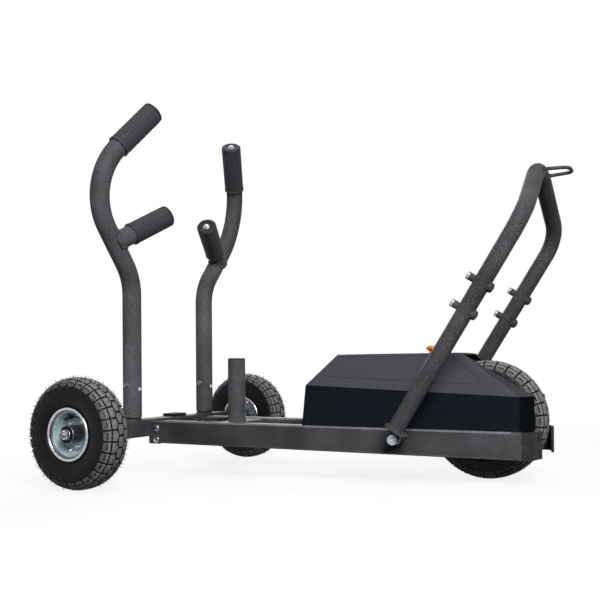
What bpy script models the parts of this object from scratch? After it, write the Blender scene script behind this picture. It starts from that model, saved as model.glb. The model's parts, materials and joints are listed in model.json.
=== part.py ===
"""Three-wheeled push sled with a magnetic brake on its front wheel.

Metres, +Z up, +X forward. The sled is modelled level, with X measured from the rear axle and
Z from a datum plane under that axle, which is the ground with the tyres at their real size. The
front axle sits higher in the frame than the rear one, so the whole sled is then tipped nose down
onto its three equal tyres.
"""
import math

import bmesh
import bpy
from mathutils import Matrix, Vector

# Gap between pieces that touch
GAP = 0.0003

# Wheels
TYRE_R = 0.140
TYRE_WIDTH = 0.085
TYRE_TREAD = 0.009
TYRE_WALL = 0.006
TREAD_BLOCK = 0.0053
TREAD_GROOVE = 0.0026
TREAD_BAND = 0.0075
TREAD_CROWN = 0.013
TREAD_MIDDLE = 0.0255
TREAD_DROP = 0.0105
SHOULDER_DROP = 0.0290
SHOULDER_IN = 0.0009
SHOULDER_BLOCK = 0.0014
BULGE_DROP = 0.0308
RIM_LIP_R = 0.067
RIM_LIP_Y = 0.0385
RIM_SEAT_R = 0.053
RIM_SHEET = 0.0025
RIM_WEB_HALF = 0.0025
RIM_BOLT_CIRCLE = 0.033
RIM_BOLT_COUNT = 5
RIM_BOLT_R = 0.003
RIM_NUT = 0.0050
HUB_R = 0.0215
HUB_HALF = 0.040
HUB_RECESS = 0.002
HUB_BORE_R = 0.0163
HUB_FLANGE_R = 0.044
HUB_FLANGE = 0.004
BEARING_WIDTH = 0.012

# Places of the wheels in the level frame
AXLE_Z = 0.140
WHEELBASE = 0.9155
FRONT_AXLE_RISE = 0.0345
REAR_TRACK = 0.7855
AXLE_R = 0.008
NUT_SIZE = 0.0135
NUT_THICK = 0.013
AXLE_TAIL = 0.004
AXLE_BOSS_R = 0.014
END_PLATE = 0.006

# Side rails
RAIL_OUTER = 0.132
RAIL_WIDTH = 0.040
RAIL_HEIGHT = 0.062
RAIL_BOTTOM = 0.0945
RAIL_WALL = 0.003
RAIL_CORNER = 0.006
RAIL_START = 0.0467
RAIL_NOSE = 0.1025

# Rear beam
BEAM_DEPTH = 0.050
BEAM_HEIGHT = 0.048
BEAM_TOP = 0.160
BEAM_X = -0.0155
BEAM_END_ROOM = 0.05725
BEAM_WALL = 0.003
PAD_LENGTH = 0.100
PAD_DEPTH = 0.042
PAD_THICK = 0.008

# Brackets between the beam and the rails
BRACKET_PLATE = 0.006
BRACKET_OVERLAP = 0.030
BRACKET_DROP = 0.0015
BRACKET_BOLT_R = 0.004
BRACKET_CORNER = 0.008
BRACKET_BOLT_X = 0.036
BRACKET_BOLT_Z = (0.1355, 0.1040)

# Front brackets
FRONT_BEND_R = 0.028
FRONT_BEND_ANGLE = math.radians(78)
FRONT_FACE = 0.038
SLOT_HEIGHT = 0.020
SLOT_WIDTH = 0.009
SLOT_Z = (0.1415, 0.1085)
FRONT_LAP = 0.020
FRONT_INSET = 0.0005

# Push handles
HANDLE_OD = 0.0508
HANDLE_WALL = 0.0026
HANDLE_Y = 0.1700
HANDLE_FOOT = 0.1668
HANDLE_STRAIGHT = 0.050
KNEE_Z = 0.546
HANDLE_ELBOW = (-0.0095, 0.3560, 0.773)
HANDLE_TOP = (0.0757, 0.1915, 0.9765)
KNEE_R = 0.130
ELBOW_R = 0.165
PEG_ROOT = (-0.0085, 0.2415, 0.6340)
PEG_END = (0.0476, 0.0981, 0.7213)
SPIGOT_RISE = 0.120
SPIGOT_WALL = 0.003
CROSS_BOLT_Z = 0.254
CROSS_BOLT_R = 0.004

# Grips
GRIP_WALL = 0.0037
UPPER_GRIP = 0.142
PEG_GRIP = 0.125
GRIP_CAP = 0.006
GRIP_BOLT = 0.0060

# Weight post
POST_X = 0.213
POST_OD = 0.048
POST_WALL = 0.003
POST_TOP = 0.327
POST_CAP = 0.004
CROSS_TUBE_DEPTH = 0.060
CROSS_TUBE_HEIGHT = 0.040
CROSS_TUBE_SET = 0.004

# Front arch
ARCH_OD = 0.038
ARCH_WALL = 0.0025
ARCH_Y = 0.1918
ARCH_FOOT = (0.7570, 0.1606)
ARCH_BEND = (1.0421, 0.6198)
ARCH_APEX = (1.0351, 0.7642)
ARCH_BEND_R = 0.090
ARCH_CROWN_R = 0.085
PIVOT = (0.7430, 0.1338)
PIVOT_R = 0.006
PIVOT_BOSS_R = 0.012
PIVOT_BOSS_END = 0.1500
PIVOT_NUT = 0.0090
PIVOT_NUT_THICK = 0.0085
PIVOT_WASHER = 0.002
PIVOT_HEAD_R = 0.0105
FOOT_PLATE = 0.054
FOOT_PLATE_OUT = 0.022
FOOT_PLATE_SET = 0.003
FOOT_PLATE_THICK = 0.006
FOOT_CORNER = 0.012
LUG_THICK = 0.0075
LUG_R = 0.0120
LUG_Y = 0.1705
ARCH_BOLT_HEIGHTS = (0.4764, 0.4195)
ARCH_BOLT_R = 0.005
ARCH_HEAD = 0.0080
ARCH_HEAD_THICK = 0.0095
COLLAR_R = 0.0085
COLLAR_LENGTH = 0.010
BOSS_R = 0.0115
BOSS_LENGTH = 0.008
LOOP_ROD_R = 0.004
LOOP_REACH = 0.051
LOOP_HALF = 0.040

# Cover
COVER_WALL = 0.003
COVER_HALF = 0.125
COVER_REAR = 0.483
COVER_REAR_LEAN = 0.0105
COVER_REACH = 0.1005
COVER_NOSE_REACH = 0.0256
SEAM_REAR_Z = 0.2560
SEAM_FRONT_Z = 0.2325
COVER_TOP_ROOM = 0.0175
TOP_HALF = 0.070
TOP_REAR = 0.556
COVER_SLOPE = 0.148
NOSE_HALF = 0.040
TOP_CORNER = 0.005
WHEEL_SLOT_HALF = 0.062
WHEEL_SLOT_LAP = 0.004

# Drive and brake inside the cover
DRIVE_PLATE = 0.005
DRIVE_PLATE_TAIL = 0.040
DRIVE_PLATE_NOSE = 0.0495
DRIVE_PLATE_TOP = 0.232
DRIVE_PLATE_BOTTOM = 0.100
TOWER_HALF = 0.024
BELT_Y = 0.066
BELT_WIDTH = 0.014
BELT_THICK = 0.003
PULLEY_FLANGE = 0.002
PULLEY_LIP = 0.003
FRONT_PULLEY_R = 0.055
BRAKE_PULLEY_R = 0.014
BRAKE_SETBACK = 0.105
BRAKE_Z = 0.205
BRAKE_SHAFT_R = 0.006
BRAKE_BEARING_R = 0.016
DISC_R = 0.085
DISC_THICK = 0.005
DISC_Y = -0.030
DISC_SEAT_R = 0.012
DISC_SHOULDER_R = 0.018
SHAFT_BODY_R = 0.009
CARRIER_ROOM = 0.0305
CARRIER_Z = 0.262
CARRIER_PIN_R = 0.005
CARRIER_LENGTH = 0.078
CARRIER_HEIGHT = 0.028
CARRIER_WIDTH = 0.026
CARRIER_NOSE = 0.012
CARRIER_SLOT = 0.050
MAGNET_R = 0.009
MAGNET_THICK = 0.003
MAGNET_AIR = 0.002

# Resistance selector
KNOB_REACH = 0.037
KNOB_R = 0.0165
KNOB_THICK = 0.010
KNOB_NECK_R = 0.0105
KNOB_NECK = 0.0085
SPINDLE_R = 0.004
SELECTOR_TURN = math.radians(120)
CARRIER_SWING = math.radians(15)
CAM_R = 0.012
CAM_HEIGHT = 0.004
CAM_CLEARANCE = 0.0012
NUB_R = 0.002
NUB_Y = -0.009
NUB_TOP = 0.008
TAIL_TOP = 0.002
TAIL_THICK = 0.008

RAIL_INNER = RAIL_OUTER - RAIL_WIDTH
RAIL_TOP = RAIL_BOTTOM + RAIL_HEIGHT
RAIL_Y = RAIL_OUTER - RAIL_WIDTH / 2
HANDLE_R = HANDLE_OD / 2
ARCH_R = ARCH_OD / 2
TUBE_SIDES = 12
GRIP_STEPS = 16
TYRE_STEPS = 30
PULLEY_STEPS = 28
DISC_STEPS = 32
RIM_STEPS = 20
HUB_STEPS = 12
SHAFT_STEPS = 12
FRONT_AXLE_Z = AXLE_Z + FRONT_AXLE_RISE
RAIL_END = WHEELBASE + RAIL_NOSE
BEAM_HALF = REAR_TRACK / 2 - BEAM_END_ROOM
COVER_SHOULDER = WHEELBASE + COVER_REACH
COVER_NOSE = COVER_SHOULDER + COVER_NOSE_REACH
COVER_TOP_Z = FRONT_AXLE_Z + TYRE_R + COVER_TOP_ROOM
TOP_FRONT = COVER_SHOULDER - COVER_SLOPE
WHEEL_SLOT_REAR = TOP_FRONT + WHEEL_SLOT_LAP
CARRIER_PIVOT = (WHEELBASE - TYRE_R - CARRIER_ROOM, CARRIER_Z)
BRAKE_X = CARRIER_PIVOT[0] - BRAKE_SETBACK
KNOB_X = CARRIER_PIVOT[0] + KNOB_REACH
DRIVE_PLATE_REAR = BRAKE_X - DRIVE_PLATE_TAIL
DRIVE_PLATE_FRONT = WHEELBASE + DRIVE_PLATE_NOSE
PLATE_OUTER = RAIL_INNER - GAP
PLATE_INNER = PLATE_OUTER - DRIVE_PLATE
SIDES = (("right", -1), ("left", 1))

PARTS = bpy.data.collections.new("weight_sled")
CUTTERS = bpy.data.collections.new("cutters")


def clear_scene():
    for thing in list(bpy.context.scene.objects):
        bpy.data.objects.remove(thing, do_unlink=True)
    bpy.context.scene.collection.children.link(PARTS)
    bpy.context.scene.collection.children.link(CUTTERS)


def material(name, hex_colour, roughness, metallic=0.0):
    """A plain finish from an sRGB colour."""
    found = bpy.data.materials.get(name)
    if found:
        return found
    made = bpy.data.materials.new(name)
    made.use_nodes = True
    channels = [int(hex_colour[i:i + 2], 16) / 255 for i in (0, 2, 4)]
    linear = [c / 12.92 if c <= 0.04045 else ((c + 0.055) / 1.055) ** 2.4 for c in channels]
    shader = made.node_tree.nodes["Principled BSDF"]
    shader.inputs["Base Color"].default_value = (*linear, 1.0)
    shader.inputs["Roughness"].default_value = roughness
    shader.inputs["Metallic"].default_value = metallic
    return made


def powder_coat():
    return material("charcoal_powder_coat", "3a3a3d", 0.62, 0.1)


def zinc():
    return material("zinc_plated_steel", "b9bec4", 0.32, 0.95)


def rubber():
    return material("black_rubber", "1b1b1c", 0.85)


def empty(name, place=(0, 0, 0), parent=None):
    made = bpy.data.objects.new(name, None)
    made.location = place
    made.parent = parent
    PARTS.objects.link(made)
    return made


def add_part(name, data, finish, parent, place=(0, 0, 0), turn=(0, 0, 0)):
    made = bpy.data.objects.new(name, data)
    made.location = place
    made.rotation_euler = turn
    made.parent = parent
    PARTS.objects.link(made)
    if finish:
        data.materials.clear()
        data.materials.append(finish)
    return made


def smooth(mesh, angle=35):
    mesh.shade_smooth()
    mesh.set_sharp_from_angle(angle=math.radians(angle))


def mesh_from(bm, name):
    mesh = bpy.data.meshes.new(name)
    bmesh.ops.recalc_face_normals(bm, faces=bm.faces)
    bm.to_mesh(mesh)
    bm.free()
    smooth(mesh)
    return mesh


def clear_of(radius, sides):
    """Radius of a many-sided bore whose flats just clear a circle."""
    return radius / math.cos(math.pi / sides)


def inside_tube(radius, wall):
    """Largest plug that fits a faceted tube."""
    return radius * math.cos(math.pi / TUBE_SIDES) - wall - GAP


def round_ring(radius, z, count):
    """Points on a circle about local Z."""
    turns = [2 * math.pi * i / count for i in range(count)]
    return [(radius * math.cos(a), radius * math.sin(a), z) for a in turns]


def hex_ring(half_flats, z, count):
    """Points on a hexagon, as many as the circle it is joined to has."""
    points = []
    for x, y, _ in round_ring(1.0, z, count):
        angle = math.atan2(y, x) % (math.pi / 3) - math.pi / 6
        reach = half_flats / math.cos(angle)
        points.append((x * reach, y * reach, z))
    return points


def lofted(rings, closed=False):
    """A skin over rings of equal counts. It is capped, or closed into a loop of rings."""
    bm = bmesh.new()
    loops = [[bm.verts.new(p) for p in ring] for ring in rings]
    pairs = list(zip(loops, loops[1:]))
    if closed:
        pairs.append((loops[-1], loops[0]))
    for low, high in pairs:
        count = len(low)
        for i in range(count):
            j = (i + 1) % count
            bm.faces.new((low[i], low[j], high[j], high[i]))
    if not closed:
        bm.faces.new(loops[0])
        bm.faces.new(loops[-1])
    return bm


def stack(name, sections, count=6, closed=False):
    """Round and hexagonal sections along Z, from the lowest up: shape, size and height."""
    shapes = {"round": round_ring, "hex": hex_ring}
    rings = [shapes[shape](size, height, count) for shape, size, height in sections]
    return mesh_from(lofted(rings, closed), name)


def bolt_sections(shank, grip, head_half, head, nut_half, nut, tail):
    """Bolt through a grip below z = 0, with its head above and its nut below."""
    return [
        ("round", shank, -grip - nut - tail),
        ("round", shank, -grip - nut),
        ("hex", nut_half, -grip - nut),
        ("hex", nut_half, -grip),
        ("round", shank, -grip),
        ("round", shank, 0.0),
        ("hex", head_half, 0.0),
        ("hex", head_half, head * 0.8),
        ("round", head_half * 0.85, head),
    ]


def hex_nut(bore_r, half_flats, thick, count=12):
    """Nut that stands on z = 0, with its outer corners turned off."""
    bore = clear_of(bore_r, count)
    sections = [
        ("round", bore, 0.0),
        ("hex", half_flats, 0.0),
        ("hex", half_flats, thick * 0.85),
        ("round", half_flats * 0.9, thick),
        ("round", bore, thick),
    ]
    return stack("nut", sections, count, closed=True)


def tube_ring(inner, outer, low, high, count=SHAFT_STEPS):
    """Plain ring about Z."""
    bore = clear_of(inner, count)
    sections = [("round", bore, low), ("round", outer, low), ("round", outer, high), ("round", bore, high)]
    return stack("ring", sections, count, closed=True)


def facing(place, direction):
    """Matrix that puts a mesh's +Z along a direction at a place."""
    turn = Vector(direction).to_track_quat("Z", "Y").to_matrix().to_4x4()
    return Matrix.Translation(place) @ turn


def placed(name, mesh, matrix, finish, parent):
    """One object from a mesh that others may share."""
    made = add_part(name, mesh, finish, parent)
    made.matrix_basis = matrix
    return made


def turned(name, profile, steps, finish, parent, place=(0, 0, 0), turn=(-math.pi / 2, 0, 0)):
    """A profile of radius and height, top to bottom on its outer side, spun about the piece's axis."""
    bm = bmesh.new()
    points = [bm.verts.new((radius, 0.0, height)) for radius, height in profile]
    for a, b in zip(points, points[1:]):
        bm.edges.new((a, b))
    if profile[0][0] or profile[-1][0]:
        bm.edges.new((points[-1], points[0]))
    mesh = bpy.data.meshes.new(name)
    bm.to_mesh(mesh)
    bm.free()
    made = add_part(name, mesh, finish, parent, place, turn)
    screw = made.modifiers.new("spin", "SCREW")
    screw.steps = steps
    screw.render_steps = steps
    screw.use_merge_vertices = True
    screw.merge_threshold = 0.00001
    return baked(made)


def baked(made):
    """Replace a piece by the mesh that its modifiers give. Its own cutters have done their work."""
    graph = bpy.context.evaluated_depsgraph_get()
    graph.update()
    mesh = bpy.data.meshes.new_from_object(made.evaluated_get(graph))
    bm = bmesh.new()
    bm.from_mesh(mesh)
    bmesh.ops.remove_doubles(bm, verts=bm.verts, dist=0.000005)
    bmesh.ops.dissolve_degenerate(bm, edges=bm.edges, dist=0.000005)
    bmesh.ops.recalc_face_normals(bm, faces=bm.faces)
    bm.to_mesh(mesh)
    bm.free()
    smooth(mesh)
    name = made.name
    parent = made.parent
    basis = made.matrix_basis.copy()
    finish = made.data.materials[0] if made.data.materials else None
    tools = [step.object for step in made.modifiers if step.type == "BOOLEAN"]
    for spent in [made] + tools:
        bpy.data.objects.remove(spent, do_unlink=True)
    fresh = add_part(name, mesh, finish, parent)
    fresh.matrix_basis = basis
    return fresh


def as_cutter(made):
    PARTS.objects.unlink(made)
    CUTTERS.objects.link(made)
    made.hide_render = True
    made.display_type = "WIRE"
    return made


def boolean(target, tool, operation="DIFFERENCE"):
    """Cut a piece by a tool, or join the tool to it."""
    step = target.modifiers.new(operation.lower(), "BOOLEAN")
    step.operation = operation
    step.object = tool
    step.solver = "EXACT"
    as_cutter(tool)


def rod_mesh(radius, length, count=SHAFT_STEPS):
    """Plain round bar about Z, centred."""
    bm = bmesh.new()
    bmesh.ops.create_cone(bm, cap_ends=True, segments=count, radius1=radius, radius2=radius, depth=length)
    return mesh_from(bm, "rod")


def join_rod(target, radius, start, end, parent, count=SHAFT_STEPS):
    """Weld a round bar between two points to a piece."""
    start = Vector(start)
    end = Vector(end)
    tool = placed("rod", rod_mesh(radius, (end - start).length, count), facing((start + end) / 2, end - start),
                  None, parent)
    boolean(target, tool, "UNION")


def cut_hole(target, radius, length, place, direction, parent, count=8):
    """Bore a round hole that clears the radius. The place is the middle of the cutter."""
    mesh = rod_mesh(clear_of(radius, count), length, count)
    boolean(target, placed("hole", mesh, facing(place, direction), None, parent))


def block(name, size, centre, finish, parent, bevel=0.0, segments=2):
    bm = bmesh.new()
    bmesh.ops.create_cube(bm, size=1.0)
    bmesh.ops.scale(bm, vec=size, verts=bm.verts)
    made = add_part(name, mesh_from(bm, name), finish, parent, centre)
    if bevel:
        edge = made.modifiers.new("edges", "BEVEL")
        edge.width = bevel
        edge.segments = segments
    return made


def arc(centre, radius, start, end, count):
    steps = [start + (end - start) * i / count for i in range(count + 1)]
    return [(centre[0] + radius * math.cos(a), centre[1] + radius * math.sin(a)) for a in steps]


def rounded_rectangle(width, height, corner, count=2):
    """Outline about the origin, one arc at each corner."""
    x = width / 2 - corner
    y = height / 2 - corner
    points = []
    for i, (sx, sy) in enumerate(((1, 1), (-1, 1), (-1, -1), (1, -1))):
        start = math.pi / 2 * i
        points += arc((sx * x, sy * y), corner, start, start + math.pi / 2, count)
    return points


def flat(name, outlines, thickness, finish, parent, place=(0, 0, 0), turn=(0, 0, 0)):
    """Flat outline with its holes, extruded to both sides of its plane."""
    curve = bpy.data.curves.new(name, "CURVE")
    curve.dimensions = "2D"
    curve.fill_mode = "BOTH"
    curve.extrude = thickness / 2
    for outline in outlines:
        spline = curve.splines.new("POLY")
        spline.points.add(len(outline) - 1)
        for point, (x, y) in zip(spline.points, outline):
            point.co = (x, y, 0, 1)
        spline.use_cyclic_u = True
    return baked(add_part(name, curve, finish, parent, place, turn))


def box_tube(name, width, height, wall, corner, length, finish, parent, place, turn):
    """Rectangular tube, open at both ends, with rounded corners."""
    outer = rounded_rectangle(width, height, corner)
    inner = rounded_rectangle(width - 2 * wall, height - 2 * wall, max(corner - wall, 0.0008), 1)
    return flat(name, (outer, inner), length, finish, parent, place, turn)


def filleted(corners, radii, step=math.radians(17)):
    """Path through corners, each rounded to its own radius."""
    corners = [Vector(c) for c in corners]
    path = [corners[0]]
    for before, corner, after, radius in zip(corners, corners[1:], corners[2:], radii):
        back = (before - corner).normalized()
        on = (after - corner).normalized()
        half = back.angle(on) / 2
        centre = corner + (back + on).normalized() * radius / math.sin(half)
        first = corner + back * radius / math.tan(half) - centre
        last = corner + on * radius / math.tan(half) - centre
        sweep = first.angle(last)
        count = max(2, round(sweep / step))
        for i in range(count + 1):
            t = i / count
            path.append(centre + (math.sin((1 - t) * sweep) * first + math.sin(t * sweep) * last) / math.sin(sweep))
    path.append(corners[-1])
    return path


def path_curve(name, path, radius, sides, caps):
    curve = bpy.data.curves.new(name, "CURVE")
    curve.dimensions = "3D"
    curve.bevel_depth = radius
    curve.bevel_resolution = sides // 2 - 2
    curve.use_fill_caps = caps
    curve.twist_mode = "MINIMUM"
    spline = curve.splines.new("POLY")
    spline.points.add(len(path) - 1)
    for point, place in zip(spline.points, path):
        point.co = (*place, 1)
    return curve


def pipe(name, path, radius, wall, finish, parent):
    """Hollow round tube along a path, open at its ends."""
    made = add_part(name, path_curve(name, path, radius, TUBE_SIDES, False), finish, parent)
    shell = made.modifiers.new("wall", "SOLIDIFY")
    shell.thickness = wall
    shell.offset = -1
    return baked(made)


def bar(name, path, radius, finish, parent, sides=TUBE_SIDES):
    """Solid round bar along a path."""
    return baked(add_part(name, path_curve(name, path, radius, sides, True), finish, parent))


def stretched(path, start, end):
    """The same path, longer by start at its first point and by end at its last."""
    first = path[0] + (path[0] - path[1]).normalized() * start
    last = path[-1] + (path[-1] - path[-2]).normalized() * end
    return [first] + list(path[1:-1]) + [last]


def mirrored(point, side):
    return (point[0], point[1] * side, point[2])


def tyre_profile():
    """Closed section: the crown, the floor of the tread's grooves, the sidewall, the bead and the hollow."""
    bead = RIM_LIP_Y - 0.0050
    half = TYRE_WIDTH / 2
    seat = clear_of(RIM_SEAT_R + GAP, TYRE_STEPS)
    right = [
        (TYRE_R, TREAD_BAND),
        (TYRE_R - TREAD_BLOCK, TREAD_BAND + 0.0002),
        (TYRE_R - TREAD_DROP, TREAD_MIDDLE),
        (TYRE_R - SHOULDER_DROP, half - SHOULDER_IN),
        (RIM_LIP_R + 0.0005, bead),
        (seat, bead),
        (seat, bead - TYRE_WALL),
        (TYRE_R - BULGE_DROP, half - TYRE_WALL),
        (TYRE_R - TYRE_TREAD, TREAD_CROWN),
    ]
    return right + [(r, -y) for r, y in reversed(right)]


def raised_blocks(bm):
    """One block of tread on each side of a sector, drawn up from the floor with a groove all round."""
    floors = tyre_profile()[1:4]
    for side in (-1, 1):
        spots = [Vector(((a[0] + b[0]) / 2, side * (a[1] + b[1]) / 2)) for a, b in zip(floors, floors[1:])]
        centres = {f: Vector((f.calc_center_median().xz.length, f.calc_center_median().y)) for f in bm.faces}
        region = [f for f, c in centres.items() if any((c - spot).length < 0.003 for spot in spots)]
        bmesh.ops.inset_region(bm, faces=region, thickness=TREAD_GROOVE / 2, use_boundary=True)
        drawn = bmesh.ops.extrude_face_region(bm, geom=region)
        bmesh.ops.delete(bm, geom=region, context="FACES")
        for vert in [v for v in drawn["geom"] if isinstance(v, bmesh.types.BMVert)]:
            shoulder = abs(vert.co.y) > (TYRE_WIDTH / 2 + TREAD_MIDDLE) / 2
            lift(vert, SHOULDER_BLOCK if shoulder else TREAD_BLOCK)
    return bm


def lift(vert, height):
    """Move a point of the tread out from the casing's round section, but not past the tyre's radius."""
    radius = vert.co.xz.length
    outward = Vector((radius - (TYRE_R - BULGE_DROP), vert.co.y)).normalized() * height
    reach = min(radius + outward.x, TYRE_R) / radius
    vert.co = Vector((vert.co.x * reach, vert.co.y + outward.y, vert.co.z * reach))


def tyre(name, parent):
    """Hollow carcass with a band of tread on its crown and a row of blocks on each side of it."""
    bm = bmesh.new()
    corners = [bm.verts.new((r, y, 0)) for r, y in tyre_profile()]
    edges = [bm.edges.new(pair) for pair in zip(corners, corners[1:] + corners[:1])]
    pitch = 2 * math.pi / TYRE_STEPS
    bmesh.ops.spin(bm, geom=corners + edges, cent=(0, 0, 0), axis=(0, 1, 0), angle=pitch, steps=1)
    raised_blocks(bm)
    sector = bm.verts[:] + bm.edges[:] + bm.faces[:]
    bmesh.ops.spin(bm, geom=sector, cent=(0, 0, 0), axis=(0, 1, 0), angle=2 * math.pi - pitch,
                   steps=TYRE_STEPS - 1, use_duplicate=True)
    bmesh.ops.remove_doubles(bm, verts=bm.verts, dist=0.00001)
    bmesh.ops.recalc_face_normals(bm, faces=bm.faces)
    bmesh.ops.rotate(bm, verts=bm.verts, cent=(0, 0, 0), matrix=Matrix.Rotation(pitch / 2, 3, "Y"))
    mesh = bpy.data.meshes.new(name)
    bm.to_mesh(mesh)
    bm.free()
    return add_part(name, mesh, material("tyre_rubber", "1f1f20", 0.9), parent)


def rim(name, parent):
    """Pressed rim with a flat web, drilled for the studs."""
    lip = RIM_LIP_Y
    seat = RIM_SEAT_R
    inner = seat - RIM_SHEET
    web = RIM_WEB_HALF
    bore = clear_of(HUB_R + GAP, RIM_STEPS)
    half = [(seat, lip - 0.0047), (RIM_LIP_R, lip - 0.0045), (RIM_LIP_R, lip), (inner, lip - 0.0035), (inner, web),
            (bore, web)]
    profile = half + [(r, -y) for r, y in reversed(half)]
    made = turned(name, profile, RIM_STEPS, zinc(), parent)
    for x, z in rim_bolt_places():
        cut_hole(made, RIM_BOLT_R + GAP, 0.02, (x, 0, z), (0, 1, 0), parent, 6)
    return baked(made)


def rim_bolt_places():
    angles = [2 * math.pi * (i + 0.5) / RIM_BOLT_COUNT for i in range(RIM_BOLT_COUNT)]
    return [(RIM_BOLT_CIRCLE * math.cos(a), RIM_BOLT_CIRCLE * math.sin(a)) for a in angles]


def hub(name, parent, reach):
    """Hub tube with the flange that carries the rim, and the four studs and nuts on it."""
    front = -(RIM_WEB_HALF + GAP)
    back = front - HUB_FLANGE
    bore = clear_of(HUB_BORE_R, HUB_STEPS)
    profile = [
        (HUB_R, reach - HUB_RECESS),
        (HUB_R, front),
        (HUB_FLANGE_R, front),
        (HUB_FLANGE_R, back),
        (HUB_R, back),
        (HUB_R, -HUB_HALF + HUB_RECESS),
        (bore, -HUB_HALF + HUB_RECESS),
        (bore, reach - HUB_RECESS),
    ]
    made = turned(name, profile, HUB_STEPS, zinc(), parent)
    nut = RIM_WEB_HALF + GAP
    sections = [
        ("hex", RIM_NUT, back - 0.004),
        ("hex", RIM_NUT, back + 0.001),
        ("round", RIM_BOLT_R, back + 0.001),
        ("round", RIM_BOLT_R, nut),
        ("hex", RIM_NUT, nut),
        ("hex", RIM_NUT, nut + 0.0045),
    ]
    for x, z in rim_bolt_places():
        stud = stack("stud", sections)
        boolean(made, placed("stud", stud, facing((x, 0, z), (0, 1, 0)), None, parent), "UNION")
    return baked(made)


def bearings(name, parent, reach):
    """Both ball bearings of a hub, with the spacer tube between them and a seal over each end of the hub."""
    outer = HUB_BORE_R - GAP
    seal = HUB_R - 0.0005
    lip = HUB_RECESS - GAP
    inner = clear_of(AXLE_R + GAP, HUB_STEPS)
    sleeve = AXLE_R + 0.003
    low = -HUB_HALF
    profile = [
        (seal, reach),
        (seal, reach - lip),
        (outer, reach - lip),
        (outer, reach - BEARING_WIDTH),
        (sleeve, reach - BEARING_WIDTH),
        (sleeve, low + BEARING_WIDTH),
        (outer, low + BEARING_WIDTH),
        (outer, low + lip),
        (seal, low + lip),
        (seal, low),
        (inner, low),
        (inner, reach),
    ]
    return turned(name, profile, HUB_STEPS, material("black_seal", "1c1c1e", 0.55), parent)


def wheel(label, centre, sled, outward, reach=HUB_HALF):
    """One wheel on its own axis. Outward is the side that its studs' nuts look to."""
    spin = empty(label + "_axis", centre, sled)
    if outward < 0:
        spin.rotation_euler = (0, 0, math.pi)
    tyre(label + "_tyre", spin)
    rim(label + "_rim", spin)
    hub(label + "_hub", spin, reach)
    bearings(label + "_bearings", spin, reach)
    return spin


def axles(sled):
    """One bar through both rear wheels, and the long bolt through the front wheel."""
    half = REAR_TRACK / 2 + HUB_HALF + GAP + NUT_THICK + AXLE_TAIL
    axis = (0, 1, 0)
    placed("rear_axle", rod_mesh(AXLE_R, 2 * half), facing((0, 0, AXLE_Z), axis), zinc(), sled)
    nut = hex_nut(AXLE_R + GAP, NUT_SIZE, NUT_THICK)
    for label, side in SIDES:
        place = (0, side * (REAR_TRACK / 2 + HUB_HALF + GAP), AXLE_Z)
        placed("rear_axle_nut_" + label, nut, facing(place, (0, side, 0)), zinc(), sled)
    seat = PLATE_OUTER + GAP
    end = seat + NUT_THICK + AXLE_TAIL
    sections = [
        ("round", AXLE_R, -end),
        ("round", AXLE_R, seat),
        ("hex", NUT_SIZE, seat),
        ("hex", NUT_SIZE, seat + 0.008),
        ("round", NUT_SIZE * 0.85, seat + 0.010),
    ]
    bolt = stack("front_axle", sections, 12)
    placed("front_axle", bolt, facing((WHEELBASE, 0, FRONT_AXLE_Z), (0, -1, 0)), zinc(), sled)
    placed("front_axle_nut", nut, facing((WHEELBASE, seat, FRONT_AXLE_Z), axis), zinc(), sled)


def rear_beam(sled):
    """Cross tube with its end plates, axle bosses, rail brackets and handle spigots welded on."""
    middle = BEAM_TOP - BEAM_HEIGHT / 2
    made = box_tube("rear_beam", BEAM_DEPTH, BEAM_HEIGHT, BEAM_WALL, RAIL_CORNER, 2 * BEAM_HALF, powder_coat(),
                    sled, (BEAM_X, 0, middle), (math.pi / 2, 0, 0))
    shoulder = REAR_TRACK / 2 - HUB_HALF - GAP
    for _, side in SIDES:
        plug = (BEAM_DEPTH - BEAM_WALL, END_PLATE, BEAM_HEIGHT - BEAM_WALL)
        centre = (BEAM_X, side * (BEAM_HALF - 0.0005 - END_PLATE / 2), middle)
        boolean(made, block("plug", plug, centre, None, sled), "UNION")
        inner = BEAM_HALF - END_PLATE / 2
        join_rod(made, AXLE_BOSS_R, (0, side * inner, AXLE_Z), (0, side * shoulder, AXLE_Z), sled)
        boolean(made, beam_bracket(side, sled), "UNION")
        boolean(made, handle_spigot(side, sled), "UNION")
    made = baked(made)
    cut_hole(made, AXLE_R + GAP, REAR_TRACK, (0, 0, AXLE_Z), (0, 1, 0), sled, SHAFT_STEPS)
    cut_hole(made, CROSS_BOLT_R + GAP, 1.0, (BEAM_X, 0, CROSS_BOLT_Z), (0, 1, 0), sled)
    for z in BRACKET_BOLT_Z:
        cut_hole(made, BRACKET_BOLT_R + GAP, 1.0, (BRACKET_BOLT_X, 0, z), (0, 1, 0), sled)
    return baked(made)


def beam_bracket(side, sled):
    """Channel on the beam's front face. Its two flanges take the rail's tongue between them."""
    rear = BEAM_X + BEAM_DEPTH / 2 - 0.001
    front = RAIL_START - GAP
    half = RAIL_WIDTH / 2
    low = RAIL_BOTTOM - BRACKET_DROP
    high = BEAM_TOP - RAIL_CORNER
    corner = (rear + BRACKET_CORNER, low + BRACKET_CORNER)
    outline = arc(corner, BRACKET_CORNER, math.pi, 1.5 * math.pi, 4) + [(front, low), (front, high), (rear, high)]
    made = flat("bracket", (outline,), 2 * half - 0.0004, None, sled, (0, side * RAIL_Y, 0), (math.pi / 2, 0, 0))
    inside = 2 * (half - BRACKET_PLATE)
    depth = 0.1
    start = rear + 0.001 + BRACKET_PLATE
    boolean(made, block("channel", (depth, inside, 0.2), (start + depth / 2, side * RAIL_Y, low), None, sled))
    return baked(made)


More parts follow.
